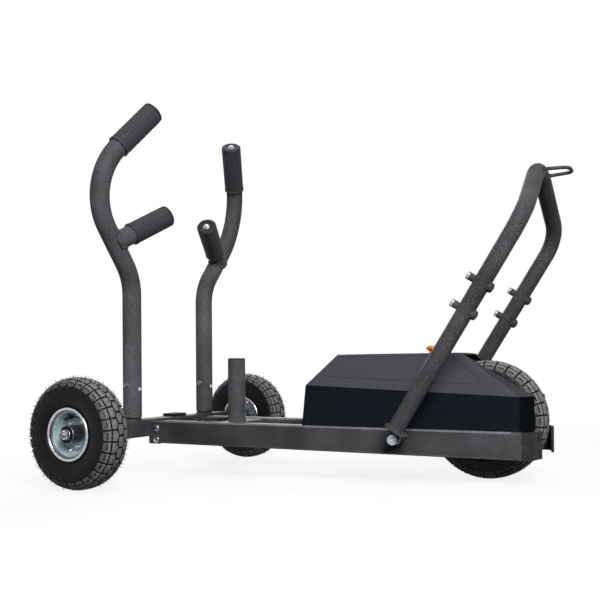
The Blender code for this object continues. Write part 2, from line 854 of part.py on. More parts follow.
def beam_pad(sled):
    place = (BEAM_X, 0, BEAM_TOP + GAP + PAD_THICK / 2)
    return block("beam_pad", (PAD_DEPTH, PAD_LENGTH, PAD_THICK), place, rubber(), sled, 0.003)


def rail(label, side, sled):
    """Rail tube with its tongue, its front bracket and the boss for the arch's foot bolt."""
    length = RAIL_END - RAIL_START
    place = ((RAIL_END + RAIL_START) / 2, side * RAIL_Y, RAIL_BOTTOM + RAIL_HEIGHT / 2)
    made = box_tube("rail_" + label, RAIL_WIDTH, RAIL_HEIGHT, RAIL_WALL, RAIL_CORNER, length, powder_coat(),
                    sled, place, (math.pi / 2, 0, math.pi / 2))
    foot = RAIL_OUTER - 0.001
    join_rod(made, PIVOT_BOSS_R, (PIVOT[0], side * foot, PIVOT[1]), (PIVOT[0], side * PIVOT_BOSS_END, PIVOT[1]), sled)
    boolean(made, rail_tongue(side, sled), "UNION")
    boolean(made, front_bracket(side, sled), "UNION")
    made = baked(made)
    cut_hole(made, PIVOT_R + GAP, 0.2, (PIVOT[0], side * RAIL_OUTER, PIVOT[1]), (0, 1, 0), sled)
    for z in BRACKET_BOLT_Z:
        cut_hole(made, BRACKET_BOLT_R + GAP, 0.1, (BRACKET_BOLT_X, side * RAIL_Y, z), (0, 1, 0), sled)
    return baked(made)


def rail_tongue(side, sled):
    """Bar in the rail's rear end, stepped down to fit between the bracket's flanges."""
    wide = RAIL_WIDTH / 2 - RAIL_WALL + 0.001
    narrow = RAIL_WIDTH / 2 - BRACKET_PLATE - GAP
    height = RAIL_HEIGHT - 2 * RAIL_WALL - 0.004
    rear = BEAM_X + BEAM_DEPTH / 2 + BRACKET_PLATE + GAP
    step = RAIL_START + 0.001
    front = RAIL_START + BRACKET_OVERLAP
    outline = [(rear, -narrow), (step, -narrow), (step, -wide), (front, -wide), (front, wide), (step, wide),
               (step, narrow), (rear, narrow)]
    place = (0, side * RAIL_Y, RAIL_BOTTOM + RAIL_HEIGHT / 2)
    return flat("tongue", (outline,), height, None, sled, place)


def front_bracket(side, sled):
    """Plate that closes the rail's front end and bends in towards the wheel, with two slots."""
    t = BRACKET_PLATE
    face = RAIL_OUTER - 0.0004
    centre = (RAIL_END, -(face - FRONT_BEND_R))
    turn_end = -math.pi / 2 + FRONT_BEND_ANGLE
    outer = arc(centre, FRONT_BEND_R, -math.pi / 2, turn_end, 5)
    inner = arc(centre, FRONT_BEND_R - t, turn_end, -math.pi / 2, 5)
    along = (math.cos(FRONT_BEND_ANGLE), math.sin(FRONT_BEND_ANGLE))
    tip_out = (outer[-1][0] + along[0] * FRONT_FACE, outer[-1][1] + along[1] * FRONT_FACE)
    tip_in = (inner[0][0] + along[0] * FRONT_FACE, inner[0][1] + along[1] * FRONT_FACE)
    rear = RAIL_END - FRONT_LAP
    outline = [(rear, -face)] + outer + [tip_out, tip_in] + inner + [(rear, -face + t)]
    outline = [(x, -y * side) for x, y in outline]
    height = RAIL_HEIGHT - 2 * FRONT_INSET
    made = flat("front_bracket", (outline,), height, None, sled, (0, 0, RAIL_BOTTOM + RAIL_HEIGHT / 2))
    middle = [(a + b) / 2 for a, b in zip(outer[-1], tip_out)]
    normal = Vector((along[1], side * along[0], 0))
    up = Vector((0, 0, 1))
    turn = Matrix((up, normal.cross(up), normal)).transposed().to_4x4()
    for z in SLOT_Z:
        slot = rounded_rectangle(SLOT_HEIGHT, SLOT_WIDTH, SLOT_WIDTH / 2 - 0.0001)
        tool = flat("slot", (slot,), 0.04, None, sled)
        tool.matrix_basis = Matrix.Translation((middle[0], -middle[1] * side, z)) @ turn
        boolean(made, tool)
    return baked(made)


def bracket_bolts(sled):
    """Two bolts through each beam bracket, with their nuts between the rails."""
    mesh = stack("bolt", bolt_sections(BRACKET_BOLT_R, RAIL_WIDTH + 2 * GAP, 0.0065, 0.0055, 0.0065, 0.0065, 0.003))
    for label, side in SIDES:
        for level, z in zip(("upper", "lower"), BRACKET_BOLT_Z):
            place = (BRACKET_BOLT_X, side * (RAIL_OUTER + GAP), z)
            placed(f"bracket_bolt_{label}_{level}", mesh, facing(place, (0, side, 0)), zinc(), sled)


def weight_post(sled):
    """Cross tube between the rails, the post that takes the discs, and its cap."""
    length = 2 * (RAIL_INNER - GAP)
    top = RAIL_TOP - CROSS_TUBE_SET
    box_tube("weight_crossmember", CROSS_TUBE_DEPTH, CROSS_TUBE_HEIGHT, RAIL_WALL, 0.005, length, powder_coat(),
             sled, (POST_X, 0, top - CROSS_TUBE_HEIGHT / 2), (math.pi / 2, 0, 0))
    end = POST_TOP - POST_CAP
    pipe("weight_post", [(POST_X, 0, top + GAP), (POST_X, 0, end)], POST_OD / 2, POST_WALL, powder_coat(), sled)
    plug = inside_tube(POST_OD / 2, POST_WALL)
    sections = [
        ("round", plug, end - 0.012),
        ("round", plug, end + GAP),
        ("round", POST_OD / 2, end + GAP),
        ("round", POST_OD / 2, POST_TOP - 0.0015),
        ("round", POST_OD / 2 - 0.0015, POST_TOP),
    ]
    plastic = material("black_plastic", "1d1d1f", 0.5)
    add_part("weight_post_cap", stack("cap", sections, TUBE_SIDES), plastic, sled, (POST_X, 0, 0))


def handle_spigot(side, sled):
    """Short tube that a push handle slides over, with a foot ring under the handle's end."""
    outer = inside_tube(HANDLE_R, HANDLE_WALL)
    ring = HANDLE_R - 0.0024
    low = BEAM_TOP - 0.001
    foot = HANDLE_FOOT - GAP
    profile = [(outer, HANDLE_FOOT + SPIGOT_RISE), (outer, foot), (ring, foot), (ring, low),
               (outer - SPIGOT_WALL, low), (outer - SPIGOT_WALL, HANDLE_FOOT + SPIGOT_RISE)]
    return turned("spigot", profile, TUBE_SIDES, None, sled, (BEAM_X, side * HANDLE_Y, 0), (0, 0, 0))


def handle_bolts(sled):
    """Cross bolt that holds each push handle on its spigot."""
    mesh = stack("bolt", bolt_sections(CROSS_BOLT_R, HANDLE_OD + 2 * GAP, 0.0060, 0.0040, 0.0065, 0.0065, 0.002))
    for label, side in SIDES:
        place = (BEAM_X, side * HANDLE_Y - HANDLE_R - GAP, CROSS_BOLT_Z)
        placed("handle_bolt_" + label, mesh, facing(place, (0, -1, 0)), powder_coat(), sled)


def elbow_radius(knee):
    """The elbow's own radius, or less where the straight end would be too short for its grip."""
    end = Vector(HANDLE_TOP) - Vector(HANDLE_ELBOW)
    turn = end.angle(Vector(HANDLE_ELBOW) - Vector(knee))
    return min(ELBOW_R, (end.length - UPPER_GRIP - GAP) / math.tan(turn / 2))


def handle_path(side):
    foot = (BEAM_X, HANDLE_Y, HANDLE_FOOT)
    low = (BEAM_X, HANDLE_Y, CROSS_BOLT_Z + HANDLE_STRAIGHT)
    knee = (BEAM_X, HANDLE_Y, KNEE_Z)
    corners = [mirrored(p, side) for p in (low, knee, HANDLE_ELBOW, HANDLE_TOP)]
    return [Vector(mirrored(foot, side))] + filleted(corners, (KNEE_R, elbow_radius(knee)))


def push_handle(label, side, sled):
    """Bent tube with its side peg welded on. Both are open at their ends."""
    path = handle_path(side)
    root = Vector(mirrored(PEG_ROOT, side))
    end = Vector(mirrored(PEG_END, side))
    inner = HANDLE_R - HANDLE_WALL
    made = bar("push_handle_" + label, path, HANDLE_R, powder_coat(), sled)
    boolean(made, bar("peg", [root, end], HANDLE_R, None, sled), "UNION")
    made = baked(made)
    boolean(made, bar("bore", stretched(path, 0.01, 0.01), inner, None, sled))
    start = root + (end - root).normalized() * (HANDLE_R + HANDLE_WALL)
    boolean(made, bar("peg_bore", stretched([start, end], 0.0, 0.01), inner, None, sled))
    cut_hole(made, CROSS_BOLT_R + GAP, 0.1, (BEAM_X, side * HANDLE_Y, CROSS_BOLT_Z), (0, 1, 0), sled)
    return baked(made)


def grip_profile(length):
    """Rubber sleeve that ends flush with the tube, with a raised ring at its start."""
    inner = clear_of(HANDLE_R + GAP, GRIP_STEPS)
    outer = HANDLE_R + GRIP_WALL
    ring = outer + 0.0012
    return [(outer, 0.0), (outer, -length + 0.004), (ring, -length + 0.004), (ring, -length), (inner, -length),
            (inner, 0.0)]


def grip_cap_mesh():
    """Cap with a plug in the tube and a hex bolt in its middle."""
    outer = HANDLE_R + GRIP_WALL
    plug = inside_tube(HANDLE_R, HANDLE_WALL)
    sections = [
        ("round", plug, -0.012),
        ("round", plug, GAP),
        ("round", outer, GAP),
        ("round", outer, GRIP_CAP * 0.6),
        ("round", outer - 0.003, GRIP_CAP),
        ("hex", GRIP_BOLT, GRIP_CAP),
        ("hex", GRIP_BOLT, GRIP_CAP + 0.0045),
    ]
    return stack("cap", sections, 12)


def grips(sled):
    cap = grip_cap_mesh()
    plastic = material("black_plastic", "1d1d1f", 0.5)
    runs = (("upper_grip", HANDLE_ELBOW, HANDLE_TOP, UPPER_GRIP), ("peg_grip", PEG_ROOT, PEG_END, PEG_GRIP))
    for kind, start, end, length in runs:
        for label, side in SIDES:
            tip = Vector(mirrored(end, side))
            seat = facing(tip, tip - Vector(mirrored(start, side)))
            sleeve = turned(f"{kind}_{label}", grip_profile(length), GRIP_STEPS, rubber(), sled)
            sleeve.matrix_basis = seat
            placed(f"{kind}_cap_{label}", cap, seat, plastic, sled)


def leg_direction():
    return (Vector((ARCH_BEND[0], 0, ARCH_BEND[1])) - Vector((ARCH_FOOT[0], 0, ARCH_FOOT[1]))).normalized()


def arch_corners():
    """Corners of the arch about the foot pivot."""
    foot = (ARCH_FOOT[0] - PIVOT[0], ARCH_FOOT[1] - PIVOT[1])
    bend = (ARCH_BEND[0] - PIVOT[0], ARCH_BEND[1] - PIVOT[1])
    apex = (ARCH_APEX[0] - PIVOT[0], ARCH_APEX[1] - PIVOT[1])
    return foot, bend, apex


def front_arch(fold):
    """Bent tube: two straight legs that lean forward and bend in to a rounded crown, on their feet."""
    foot, bend, apex = arch_corners()
    corners = [(foot[0], -ARCH_Y, foot[1]), (bend[0], -ARCH_Y, bend[1]), (apex[0], 0, apex[1]),
               (bend[0], ARCH_Y, bend[1]), (foot[0], ARCH_Y, foot[1])]
    path = filleted(corners, (ARCH_BEND_R, ARCH_CROWN_R, ARCH_BEND_R))
    made = bar("front_arch", stretched(path, 0.001, 0.001), ARCH_R, powder_coat(), fold)
    for _, side in SIDES:
        boolean(made, arch_foot(side, fold), "UNION")
    made = baked(made)
    boolean(made, bar("bore", stretched(path, -0.001, -0.001), ARCH_R - ARCH_WALL, None, fold))
    for x, z in arch_bolt_places():
        cut_hole_pair(made, x, z, fold)
    cut_hole(made, PIVOT_R + GAP, 1.0, (0, 0, 0), (0, 1, 0), fold)
    return baked(made)


def cut_hole_pair(made, x, z, fold):
    """Bolt hole across each leg."""
    for _, side in SIDES:
        cut_hole(made, ARCH_BOLT_R + GAP, 2 * ARCH_OD, (x, side * ARCH_Y, z), arch_bolt_axis(), fold)


def arch_foot(side, fold):
    """Plate square to the leg, with the lug below it that swings on the foot bolt."""
    foot, _, _ = arch_corners()
    along = leg_direction()
    outer = ARCH_Y + FOOT_PLATE_OUT
    inner = LUG_Y - 0.0005
    forward = Vector((along.z, 0, -along.x)) * FOOT_PLATE_SET
    centre = Vector((foot[0], side * (outer + inner) / 2, foot[1])) - along * (FOOT_PLATE_THICK / 2) + forward
    outline = rounded_rectangle(outer - inner, FOOT_PLATE, FOOT_CORNER, 4)
    plate = flat("plate", (outline,), FOOT_PLATE_THICK, None, fold)
    plate.matrix_basis = facing(centre, along)
    lug = flat("lug", (lug_outline(along),), LUG_THICK, None, fold, (0, side * (LUG_Y + LUG_THICK / 2), 0),
               (math.pi / 2, 0, 0))
    boolean(plate, lug, "UNION")
    return baked(plate)


def arch_bolt_places():
    foot, _, _ = arch_corners()
    along = leg_direction()
    places = []
    for height in ARCH_BOLT_HEIGHTS:
        reach = (height - ARCH_FOOT[1]) / along.z
        places.append((foot[0] + along.x * reach, foot[1] + along.z * reach))
    return places


def arch_bolt_axis():
    """Across the leg, towards the rear."""
    along = leg_direction()
    return Vector((-along.z, 0, along.x))


def lug_outline(along):
    """Round end about the pivot, widening to the foot plate. In the plane of X and Z."""
    angle = math.atan2(along.z, along.x)
    end = arc((0, 0), LUG_R, angle + math.pi / 2, angle + 3 * math.pi / 2, 8)
    foot, _, _ = arch_corners()
    reach = (foot[0] * along.x + foot[1] * along.z) - FOOT_PLATE_THICK + 0.002
    across = Vector((-along.z, 0, along.x))
    high = along * reach
    left = (high.x + across.x * LUG_R, high.z + across.z * LUG_R)
    right = (high.x - across.x * LUG_R, high.z - across.z * LUG_R)
    return end + [right, left]


def arch_bolts(fold):
    """Through bolts of the legs: a collar under the head, and a round nut on the front."""
    hub_nut = ARCH_R + GAP
    head = ARCH_R + GAP + COLLAR_LENGTH
    sections = [
        ("round", BOSS_R * 0.72, -hub_nut - BOSS_LENGTH),
        ("round", BOSS_R, -hub_nut - BOSS_LENGTH * 0.6),
        ("round", BOSS_R, -hub_nut),
        ("round", ARCH_BOLT_R, -hub_nut),
        ("round", ARCH_BOLT_R, hub_nut),
        ("round", COLLAR_R, hub_nut),
        ("round", COLLAR_R, head),
        ("hex", ARCH_HEAD, head),
        ("hex", ARCH_HEAD, head + ARCH_HEAD_THICK),
    ]
    mesh = stack("arch_bolt", sections, 12)
    back = arch_bolt_axis()
    for label, side in SIDES:
        for level, (x, z) in zip(("upper", "lower"), arch_bolt_places()):
            place = (x, side * ARCH_Y, z)
            placed(f"arch_bolt_{label}_{level}", mesh, facing(place, back), zinc(), fold)


def crown_centre():
    """Middle of the arch's tube at the crown, about the foot pivot."""
    _, bend, apex = arch_corners()
    down = Vector((bend[0] - apex[0], -ARCH_Y, bend[1] - apex[1])).normalized()
    half = down.angle(Vector((down.x, -down.y, down.z))) / 2
    drop = ARCH_CROWN_R / math.sin(half) - ARCH_CROWN_R
    inward = Vector((down.x, 0, down.z)).normalized()
    return Vector((apex[0], 0, apex[1])) + inward * drop


def tow_loop(fold):
    """Bent rod, coped to the crown that it is welded to."""
    centre = crown_centre()
    tip = centre.x + ARCH_R + LOOP_REACH
    bend = 0.026
    z = centre.z - 0.002
    corners = [(centre.x, -LOOP_HALF, z), (tip, -LOOP_HALF, z), (tip, LOOP_HALF, z), (centre.x, LOOP_HALF, z)]
    path = filleted(corners, (bend, bend), math.radians(20))
    made = bar("tow_loop", path, LOOP_ROD_R, powder_coat(), fold, 8)
    _, low, apex = arch_corners()
    corners = [(low[0], -ARCH_Y, low[1]), (apex[0], 0, apex[1]), (low[0], ARCH_Y, low[1])]
    clear = clear_of(ARCH_R + GAP, TUBE_SIDES)
    tool = bar("cope_crown", filleted(corners, (ARCH_CROWN_R,)), clear, None, fold)
    boolean(made, tool)
    return baked(made)


def pivot_bolts(sled):
    """Bolt that each leg of the arch swings on: a nut on each side of the lug, and a washer outside it."""
    inner = RAIL_INNER - GAP
    boss = PIVOT_BOSS_END + GAP - inner
    lug = LUG_Y - GAP - inner
    grip = LUG_Y + LUG_THICK + GAP - inner
    washer = grip + PIVOT_WASHER
    nut = washer + PIVOT_NUT_THICK
    sections = [
        ("round", PIVOT_R, -nut - 0.004),
        ("round", PIVOT_R, -nut),
        ("hex", PIVOT_NUT, -nut),
        ("hex", PIVOT_NUT, -washer),
        ("round", PIVOT_NUT * 1.3, -washer),
        ("round", PIVOT_NUT * 1.3, -grip),
        ("round", PIVOT_R, -grip),
        ("round", PIVOT_R, -lug),
        ("hex", PIVOT_NUT, -lug),
        ("hex", PIVOT_NUT, -boss),
        ("round", PIVOT_R, -boss),
        ("round", PIVOT_R, 0.0),
        ("round", PIVOT_HEAD_R, 0.0),
        ("round", PIVOT_HEAD_R * 0.85, 0.0045),
    ]
    mesh = stack("pivot_bolt", sections, 12)
    for label, side in SIDES:
        place = (PIVOT[0], side * inner, PIVOT[1])
        placed("pivot_bolt_" + label, mesh, facing(place, (0, -side, 0)), zinc(), sled)


def cover_ring(rear, shoulder, nose, half, nose_half, rear_z, shoulder_z):
    """Plan outline of the cover at one level, with its front corners cut off."""
    corners = [(rear, -half, rear_z), (shoulder, -half, shoulder_z), (nose, -nose_half, shoulder_z)]
    return corners + [(x, -y, z) for x, y, z in reversed(corners)]


def inset(ring, distance, drop=0.0):
    """The same outline moved in by a wall, and lowered."""
    moved = []
    for i, (x, y, z) in enumerate(ring):
        before = Vector(ring[i - 1][:2])
        here = Vector((x, y))
        after = Vector(ring[(i + 1) % len(ring)][:2])
        first = (here - before).normalized()
        second = (after - here).normalized()
        one = Vector((-first.y, first.x))
        two = Vector((-second.y, second.x))
        spot = here + (one + two) * distance / (1 + one.dot(two))
        moved.append((spot.x, spot.y, z - drop))
    return moved


def foot_ring():
    foot = RAIL_TOP + GAP
    return cover_ring(COVER_REAR, COVER_SHOULDER, COVER_NOSE, COVER_HALF, NOSE_HALF, foot, foot)


def seam_ring(drop=0.0):
    """Level where the box meets the hood."""
    return cover_ring(COVER_REAR + COVER_REAR_LEAN, COVER_SHOULDER, COVER_NOSE, COVER_HALF, NOSE_HALF,
                      SEAM_REAR_Z - drop, SEAM_FRONT_Z - drop)


def top_ring():
    return cover_ring(TOP_REAR, TOP_FRONT, TOP_FRONT + TOP_CORNER, TOP_HALF, NOSE_HALF, COVER_TOP_Z, COVER_TOP_Z)


def wheel_slot(parent):
    length = 0.30
    centre = (WHEEL_SLOT_REAR + length / 2, 0, COVER_TOP_Z - 0.1)
    return block("wheel_slot", (length, 2 * WHEEL_SLOT_HALF, 0.40), centre, None, parent)


def cover(sled):
    """Lower box and upper hood, each a separate moulding that meets the other at a seam."""
    wall = COVER_WALL
    rings = [foot_ring(), seam_ring(GAP), inset(seam_ring(GAP), wall), inset(foot_ring(), wall)]
    gloss = material("gloss_black_plastic", "14161b", 0.25)
    box = add_part("cover_box", mesh_from(lofted(rings, closed=True), "cover_box"), gloss, sled)
    boolean(box, wheel_slot(sled))
    baked(box)
    rings = [inset(top_ring(), wall, wall), inset(seam_ring(), wall), seam_ring(), top_ring()]
    satin = material("satin_black_plastic", "2b2d31", 0.42)
    hood = add_part("cover_hood", mesh_from(lofted(rings), "cover_hood"), satin, sled)
    boolean(hood, wheel_slot(sled))
    cut_hole(hood, SPINDLE_R + GAP, 0.05, (KNOB_X, 0, COVER_TOP_Z), (0, 0, 1), sled, SHAFT_STEPS)
    baked(hood)


def drive_plate(label, side, sled):
    """Plate on the rail's inner face. It carries the front axle and one end of the brake shaft."""
    top = DRIVE_PLATE_TOP
    low = DRIVE_PLATE_BOTTOM
    rear = DRIVE_PLATE_REAR
    front = DRIVE_PLATE_FRONT
    pivot_x, pivot_z = CARRIER_PIVOT
    tower = pivot_z + 0.014
    outline = [(rear, low), (front, low), (front, top - 0.02), (front - 0.02, top)]
    if side < 0:
        outline += [(pivot_x + TOWER_HALF, top), (pivot_x + TOWER_HALF * 0.6, tower),
                    (pivot_x - TOWER_HALF * 0.6, tower), (pivot_x - TOWER_HALF, top)]
    outline += [(rear + 0.02, top), (rear, top - 0.02)]
    y = side * (PLATE_OUTER - DRIVE_PLATE / 2)
    steel = material("grey_steel_plate", "55585c", 0.45, 0.8)
    made = flat("drive_plate_" + label, (outline,), DRIVE_PLATE, steel, sled, (0, y, 0), (math.pi / 2, 0, 0))
    inner = side * (PLATE_INNER + 0.001)
    hub_end = HUB_HALF if side < 0 else front_reach()
    join_rod(made, AXLE_BOSS_R, (WHEELBASE, inner, FRONT_AXLE_Z), (WHEELBASE, side * (hub_end + GAP), FRONT_AXLE_Z),
             sled)
    if side < 0:
        end = DISC_Y + CARRIER_WIDTH / 2 + 0.004
        join_rod(made, CARRIER_PIN_R, (pivot_x, inner, pivot_z), (pivot_x, end, pivot_z), sled, 12)
    made = baked(made)
    cut_hole(made, AXLE_R + GAP, 2 * PLATE_OUTER, (WHEELBASE, y, FRONT_AXLE_Z), (0, 1, 0), sled, SHAFT_STEPS)
    cut_hole(made, BRAKE_BEARING_R + GAP, 0.05, (BRAKE_X, y, BRAKE_Z), (0, 1, 0), sled, SHAFT_STEPS)
    cut_hole(made, PIVOT_HEAD_R + 0.001, 0.05, (PIVOT[0], y, PIVOT[1]), (0, 1, 0), sled)
    return baked(made)


def front_reach():
    """Left end of the front hub, just past the pulley."""
    return BELT_Y + BELT_WIDTH / 2 + 0.004


def front_pulley(spin):
    """Belt pulley on the long end of the front hub, flanged on both sides."""
    half = BELT_WIDTH / 2
    edge = half + PULLEY_FLANGE
    flange = FRONT_PULLEY_R + PULLEY_LIP
    inner = clear_of(HUB_R + GAP, PULLEY_STEPS)
    profile = [(flange, BELT_Y + edge), (FRONT_PULLEY_R, BELT_Y + half), (FRONT_PULLEY_R, BELT_Y - half),
               (flange, BELT_Y - edge), (inner, BELT_Y - edge), (inner, BELT_Y + edge)]
    aluminium = material("cast_aluminium", "9a9da1", 0.4, 0.9)
    return turned("front_pulley", profile, PULLEY_STEPS, aluminium, spin)


def drive_belt(sled):
    """Belt around both pulleys: two arcs and two straight runs."""
    gap = Vector((WHEELBASE - BRAKE_X, FRONT_AXLE_Z - BRAKE_Z))
    lean = math.atan2(gap.y, gap.x)
    spread = math.acos((FRONT_PULLEY_R - BRAKE_PULLEY_R) / gap.length)
    outlines = []
    for extra in (GAP + BELT_THICK, GAP):
        front = arc((WHEELBASE, FRONT_AXLE_Z), clear_of(FRONT_PULLEY_R + extra, 26), lean - math.pi + spread,
                    lean + math.pi - spread, 16)
        rear = arc((BRAKE_X, BRAKE_Z), clear_of(BRAKE_PULLEY_R + extra, 18), lean + math.pi - spread,
                   lean + math.pi + spread, 8)
        outlines.append(front + rear)
    width = BELT_WIDTH - 2 * GAP
    return flat("drive_belt", outlines, width, rubber(), sled, (0, BELT_Y, 0), (math.pi / 2, 0, 0))


def brake_shaft(spin):
    """Shaft with the small pulley and the shoulder that holds the disc."""
    end = PLATE_OUTER
    shoulder = PLATE_INNER - 0.001
    body = SHAFT_BODY_R
    half = BELT_WIDTH / 2
    edge = half + PULLEY_FLANGE
    flange = BRAKE_PULLEY_R + PULLEY_LIP
    seat = DISC_Y - DISC_THICK / 2 - GAP
    profile = [(0.0, end), (BRAKE_SHAFT_R, end), (BRAKE_SHAFT_R, shoulder), (body, shoulder), (body, BELT_Y + edge),
               (flange, BELT_Y + edge), (BRAKE_PULLEY_R, BELT_Y + half), (BRAKE_PULLEY_R, BELT_Y - half),
               (flange, BELT_Y - edge), (body, BELT_Y - edge), (body, DISC_Y + 0.012), (DISC_SEAT_R, DISC_Y + 0.012),
               (DISC_SEAT_R, seat), (DISC_SHOULDER_R, seat), (DISC_SHOULDER_R, seat - 0.005), (body, seat - 0.005),
               (body, -shoulder), (BRAKE_SHAFT_R, -shoulder), (BRAKE_SHAFT_R, -end), (0.0, -end)]
    return turned("brake_shaft", profile, SHAFT_STEPS, zinc(), spin)


def brake_disc(spin):
    inner = clear_of(DISC_SEAT_R + GAP, DISC_STEPS)
    low = DISC_Y - DISC_THICK / 2
    high = DISC_Y + DISC_THICK / 2
    profile = [(DISC_R, high), (DISC_R, low), (inner, low), (inner, high)]
    return turned("brake_disc", profile, DISC_STEPS, material("machined_aluminium", "c6c9cc", 0.25, 1.0), spin)


def brake_bearings(sled):
    """Ball bearing in each drive plate."""
    ring = tube_ring(BRAKE_SHAFT_R + GAP, BRAKE_BEARING_R, 0.0, DRIVE_PLATE - 2 * GAP)
    for label, side in SIDES:
        place = (BRAKE_X, side * (PLATE_INNER + GAP), BRAKE_Z)
        placed("brake_bearing_" + label, ring, facing(place, (0, side, 0)), material("bearing_steel", "8d9196", 0.3, 1.0),
               sled)


def magnet_carrier(swing):
    """Block that straddles the disc's rim on the pivot pin, with magnets in its slot and a tail for the cam."""
    behind = CARRIER_LENGTH - CARRIER_NOSE
    y = DISC_Y
    made = block("magnet_carrier", (CARRIER_LENGTH, CARRIER_WIDTH, CARRIER_HEIGHT),
                 (CARRIER_NOSE - CARRIER_LENGTH / 2, y, 0), material("cast_aluminium", "9a9da1", 0.4, 0.9), swing)
    slot = DISC_THICK + 2 * (MAGNET_THICK + MAGNET_AIR)
    depth = CARRIER_SLOT
    boolean(made, block("slot", (depth, slot, 0.06), (-behind + depth / 2 - 0.005, y, 0), None, swing))
    made = baked(made)
    reach = KNOB_X - CARRIER_PIVOT[0]
    tail_end = reach + NUB_R + 0.001
    tail_side = NUB_Y + NUB_R + 0.001
    back = y - CARRIER_WIDTH / 2 + 0.001
    start = CARRIER_NOSE - 0.003
    size = (tail_end - start, tail_side - back, TAIL_THICK)
    centre = ((tail_end + start) / 2, (tail_side + back) / 2, TAIL_TOP - TAIL_THICK / 2)
    boolean(made, block("tail", size, centre, None, swing), "UNION")
    join_rod(made, NUB_R, (reach, NUB_Y, TAIL_TOP - 0.001), (reach, NUB_Y, NUB_TOP), swing, 6)
    face = slot / 2 - MAGNET_THICK
    for x in (-behind + 0.012, -behind + 0.033):
        for side in (-1, 1):
            join_rod(made, MAGNET_R, (x, y + side * face, 0), (x, y + side * (slot / 2 + 0.001), 0), swing, 12)
    made = baked(made)
    cut_hole(made, CARRIER_PIN_R + GAP, 0.1, (0, y, 0), (0, 1, 0), swing)
    return baked(made)


def cam_mesh():
    """Ring whose lower face sinks as the selector turns, and so presses the carrier's nub down."""
    reach = KNOB_X - CARRIER_PIVOT[0]
    rest = CARRIER_PIVOT[1] + NUB_TOP + CAM_CLEARANCE
    count = 16
    top = rest + CAM_HEIGHT
    inner = SPINDLE_R * 0.7
    lows = []
    for i in range(count):
        angle = 2 * math.pi * i / count
        behind = (-math.pi / 2 - angle) % (2 * math.pi)
        share = behind / SELECTOR_TURN if behind < SELECTOR_TURN else (2 * math.pi - behind) / (
            2 * math.pi - SELECTOR_TURN)
        lows.append(rest - reach * math.sin(CARRIER_SWING * share))
    rings = []
    for radius, levels in ((CAM_R, [top] * count), (CAM_R, lows), (inner, lows), (inner, [top] * count)):
        flat_ring = round_ring(radius, 0.0, count)
        rings.append([(x, y, z) for (x, y, _), z in zip(flat_ring, levels)])
    return mesh_from(lofted(rings, closed=True), "cam")


def selector_knob(turn_axis):
    """Round knob on a spindle through the hood, with the cam on its lower end."""
    neck = COVER_TOP_Z + GAP
    cap = neck + KNOB_NECK
    top = cap + KNOB_THICK
    low = CARRIER_PIVOT[1] + NUB_TOP + CAM_CLEARANCE + 0.001
    profile = [(0.0, top), (KNOB_R - 0.002, top), (KNOB_R, top - 0.002), (KNOB_R, cap), (KNOB_NECK_R, cap),
               (KNOB_NECK_R, neck), (SPINDLE_R, neck), (SPINDLE_R, low), (0.0, low)]
    orange = material("orange_plastic", "f07a1a", 0.4)
    made = turned("selector_knob", profile, SHAFT_STEPS, orange, turn_axis, turn=(0, 0, 0))
    boolean(made, placed("cam", cam_mesh(), Matrix(), None, turn_axis), "UNION")
    return baked(made)


def stand_on_floor(sled):
    """Tip the sled nose down onto its three equal tyres, and centre its box on the origin."""
    tip = math.atan2(FRONT_AXLE_RISE, WHEELBASE)
    sled.rotation_euler = (0, tip, 0)
    graph = bpy.context.evaluated_depsgraph_get()
    graph.update()
    corners = []
    for made in PARTS.objects:
        if made.type == "MESH":
            seen = made.evaluated_get(graph)
            corners += [seen.matrix_world @ v.co for v in seen.data.vertices]
    low = Vector([min(c[i] for c in corners) for i in range(3)])
    high = Vector([max(c[i] for c in corners) for i in range(3)])
    sled.location -= Vector(((low.x + high.x) / 2, (low.y + high.y) / 2, low.z))


def build():
    clear_scene()
    sled = empty("sled")
    for label, side in SIDES:
        wheel("rear_" + label, (0, side * REAR_TRACK / 2, AXLE_Z), sled, side)
    front = wheel("front", (WHEELBASE, 0, FRONT_AXLE_Z), sled, 1, front_reach())
    axles(sled)
    rear_beam(sled)
    beam_pad(sled)
    for label, side in SIDES:
        rail(label, side, sled)
        push_handle(label, side, sled)
        drive_plate(label, side, sled)
    bracket_bolts(sled)
    handle_bolts(sled)
    weight_post(sled)
    grips(sled)
    fold = empty("arch_axis", (PIVOT[0], 0, PIVOT[1]), sled)
    front_arch(fold)
    arch_bolts(fold)
    tow_loop(fold)
    pivot_bolts(sled)
    cover(sled)
    front_pulley(front)
    drive_belt(sled)
    brake = empty("brake_axis", (BRAKE_X, 0, BRAKE_Z), sled)
    brake_shaft(brake)
    brake_disc(brake)
    brake_bearings(sled)
    swing = empty("carrier_axis", (CARRIER_PIVOT[0], 0, CARRIER_PIVOT[1]), sled)
    magnet_carrier(swing)
    selector_knob(empty("selector_axis", (KNOB_X, 0, 0), sled))
    stand_on_floor(sled)


build()
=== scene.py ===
# %% [markdown]
# This notebook dresses a three-wheeled push sled. The sled is a frame of powder-coated steel tube
# on pneumatic tyres, with rubber grips, zinc-plated bolts and a black plastic cover over its brake.
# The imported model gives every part's place. Most parts are then modelled again with rounder tubes,
# softened edges, welds and tread, and each one gets a finish built from shader nodes.

# %% Load the frame
import json
import math
import random

import bmesh
import bpy
import numpy as np
from mathutils import Matrix, Vector
from mathutils.bvhtree import BVHTree

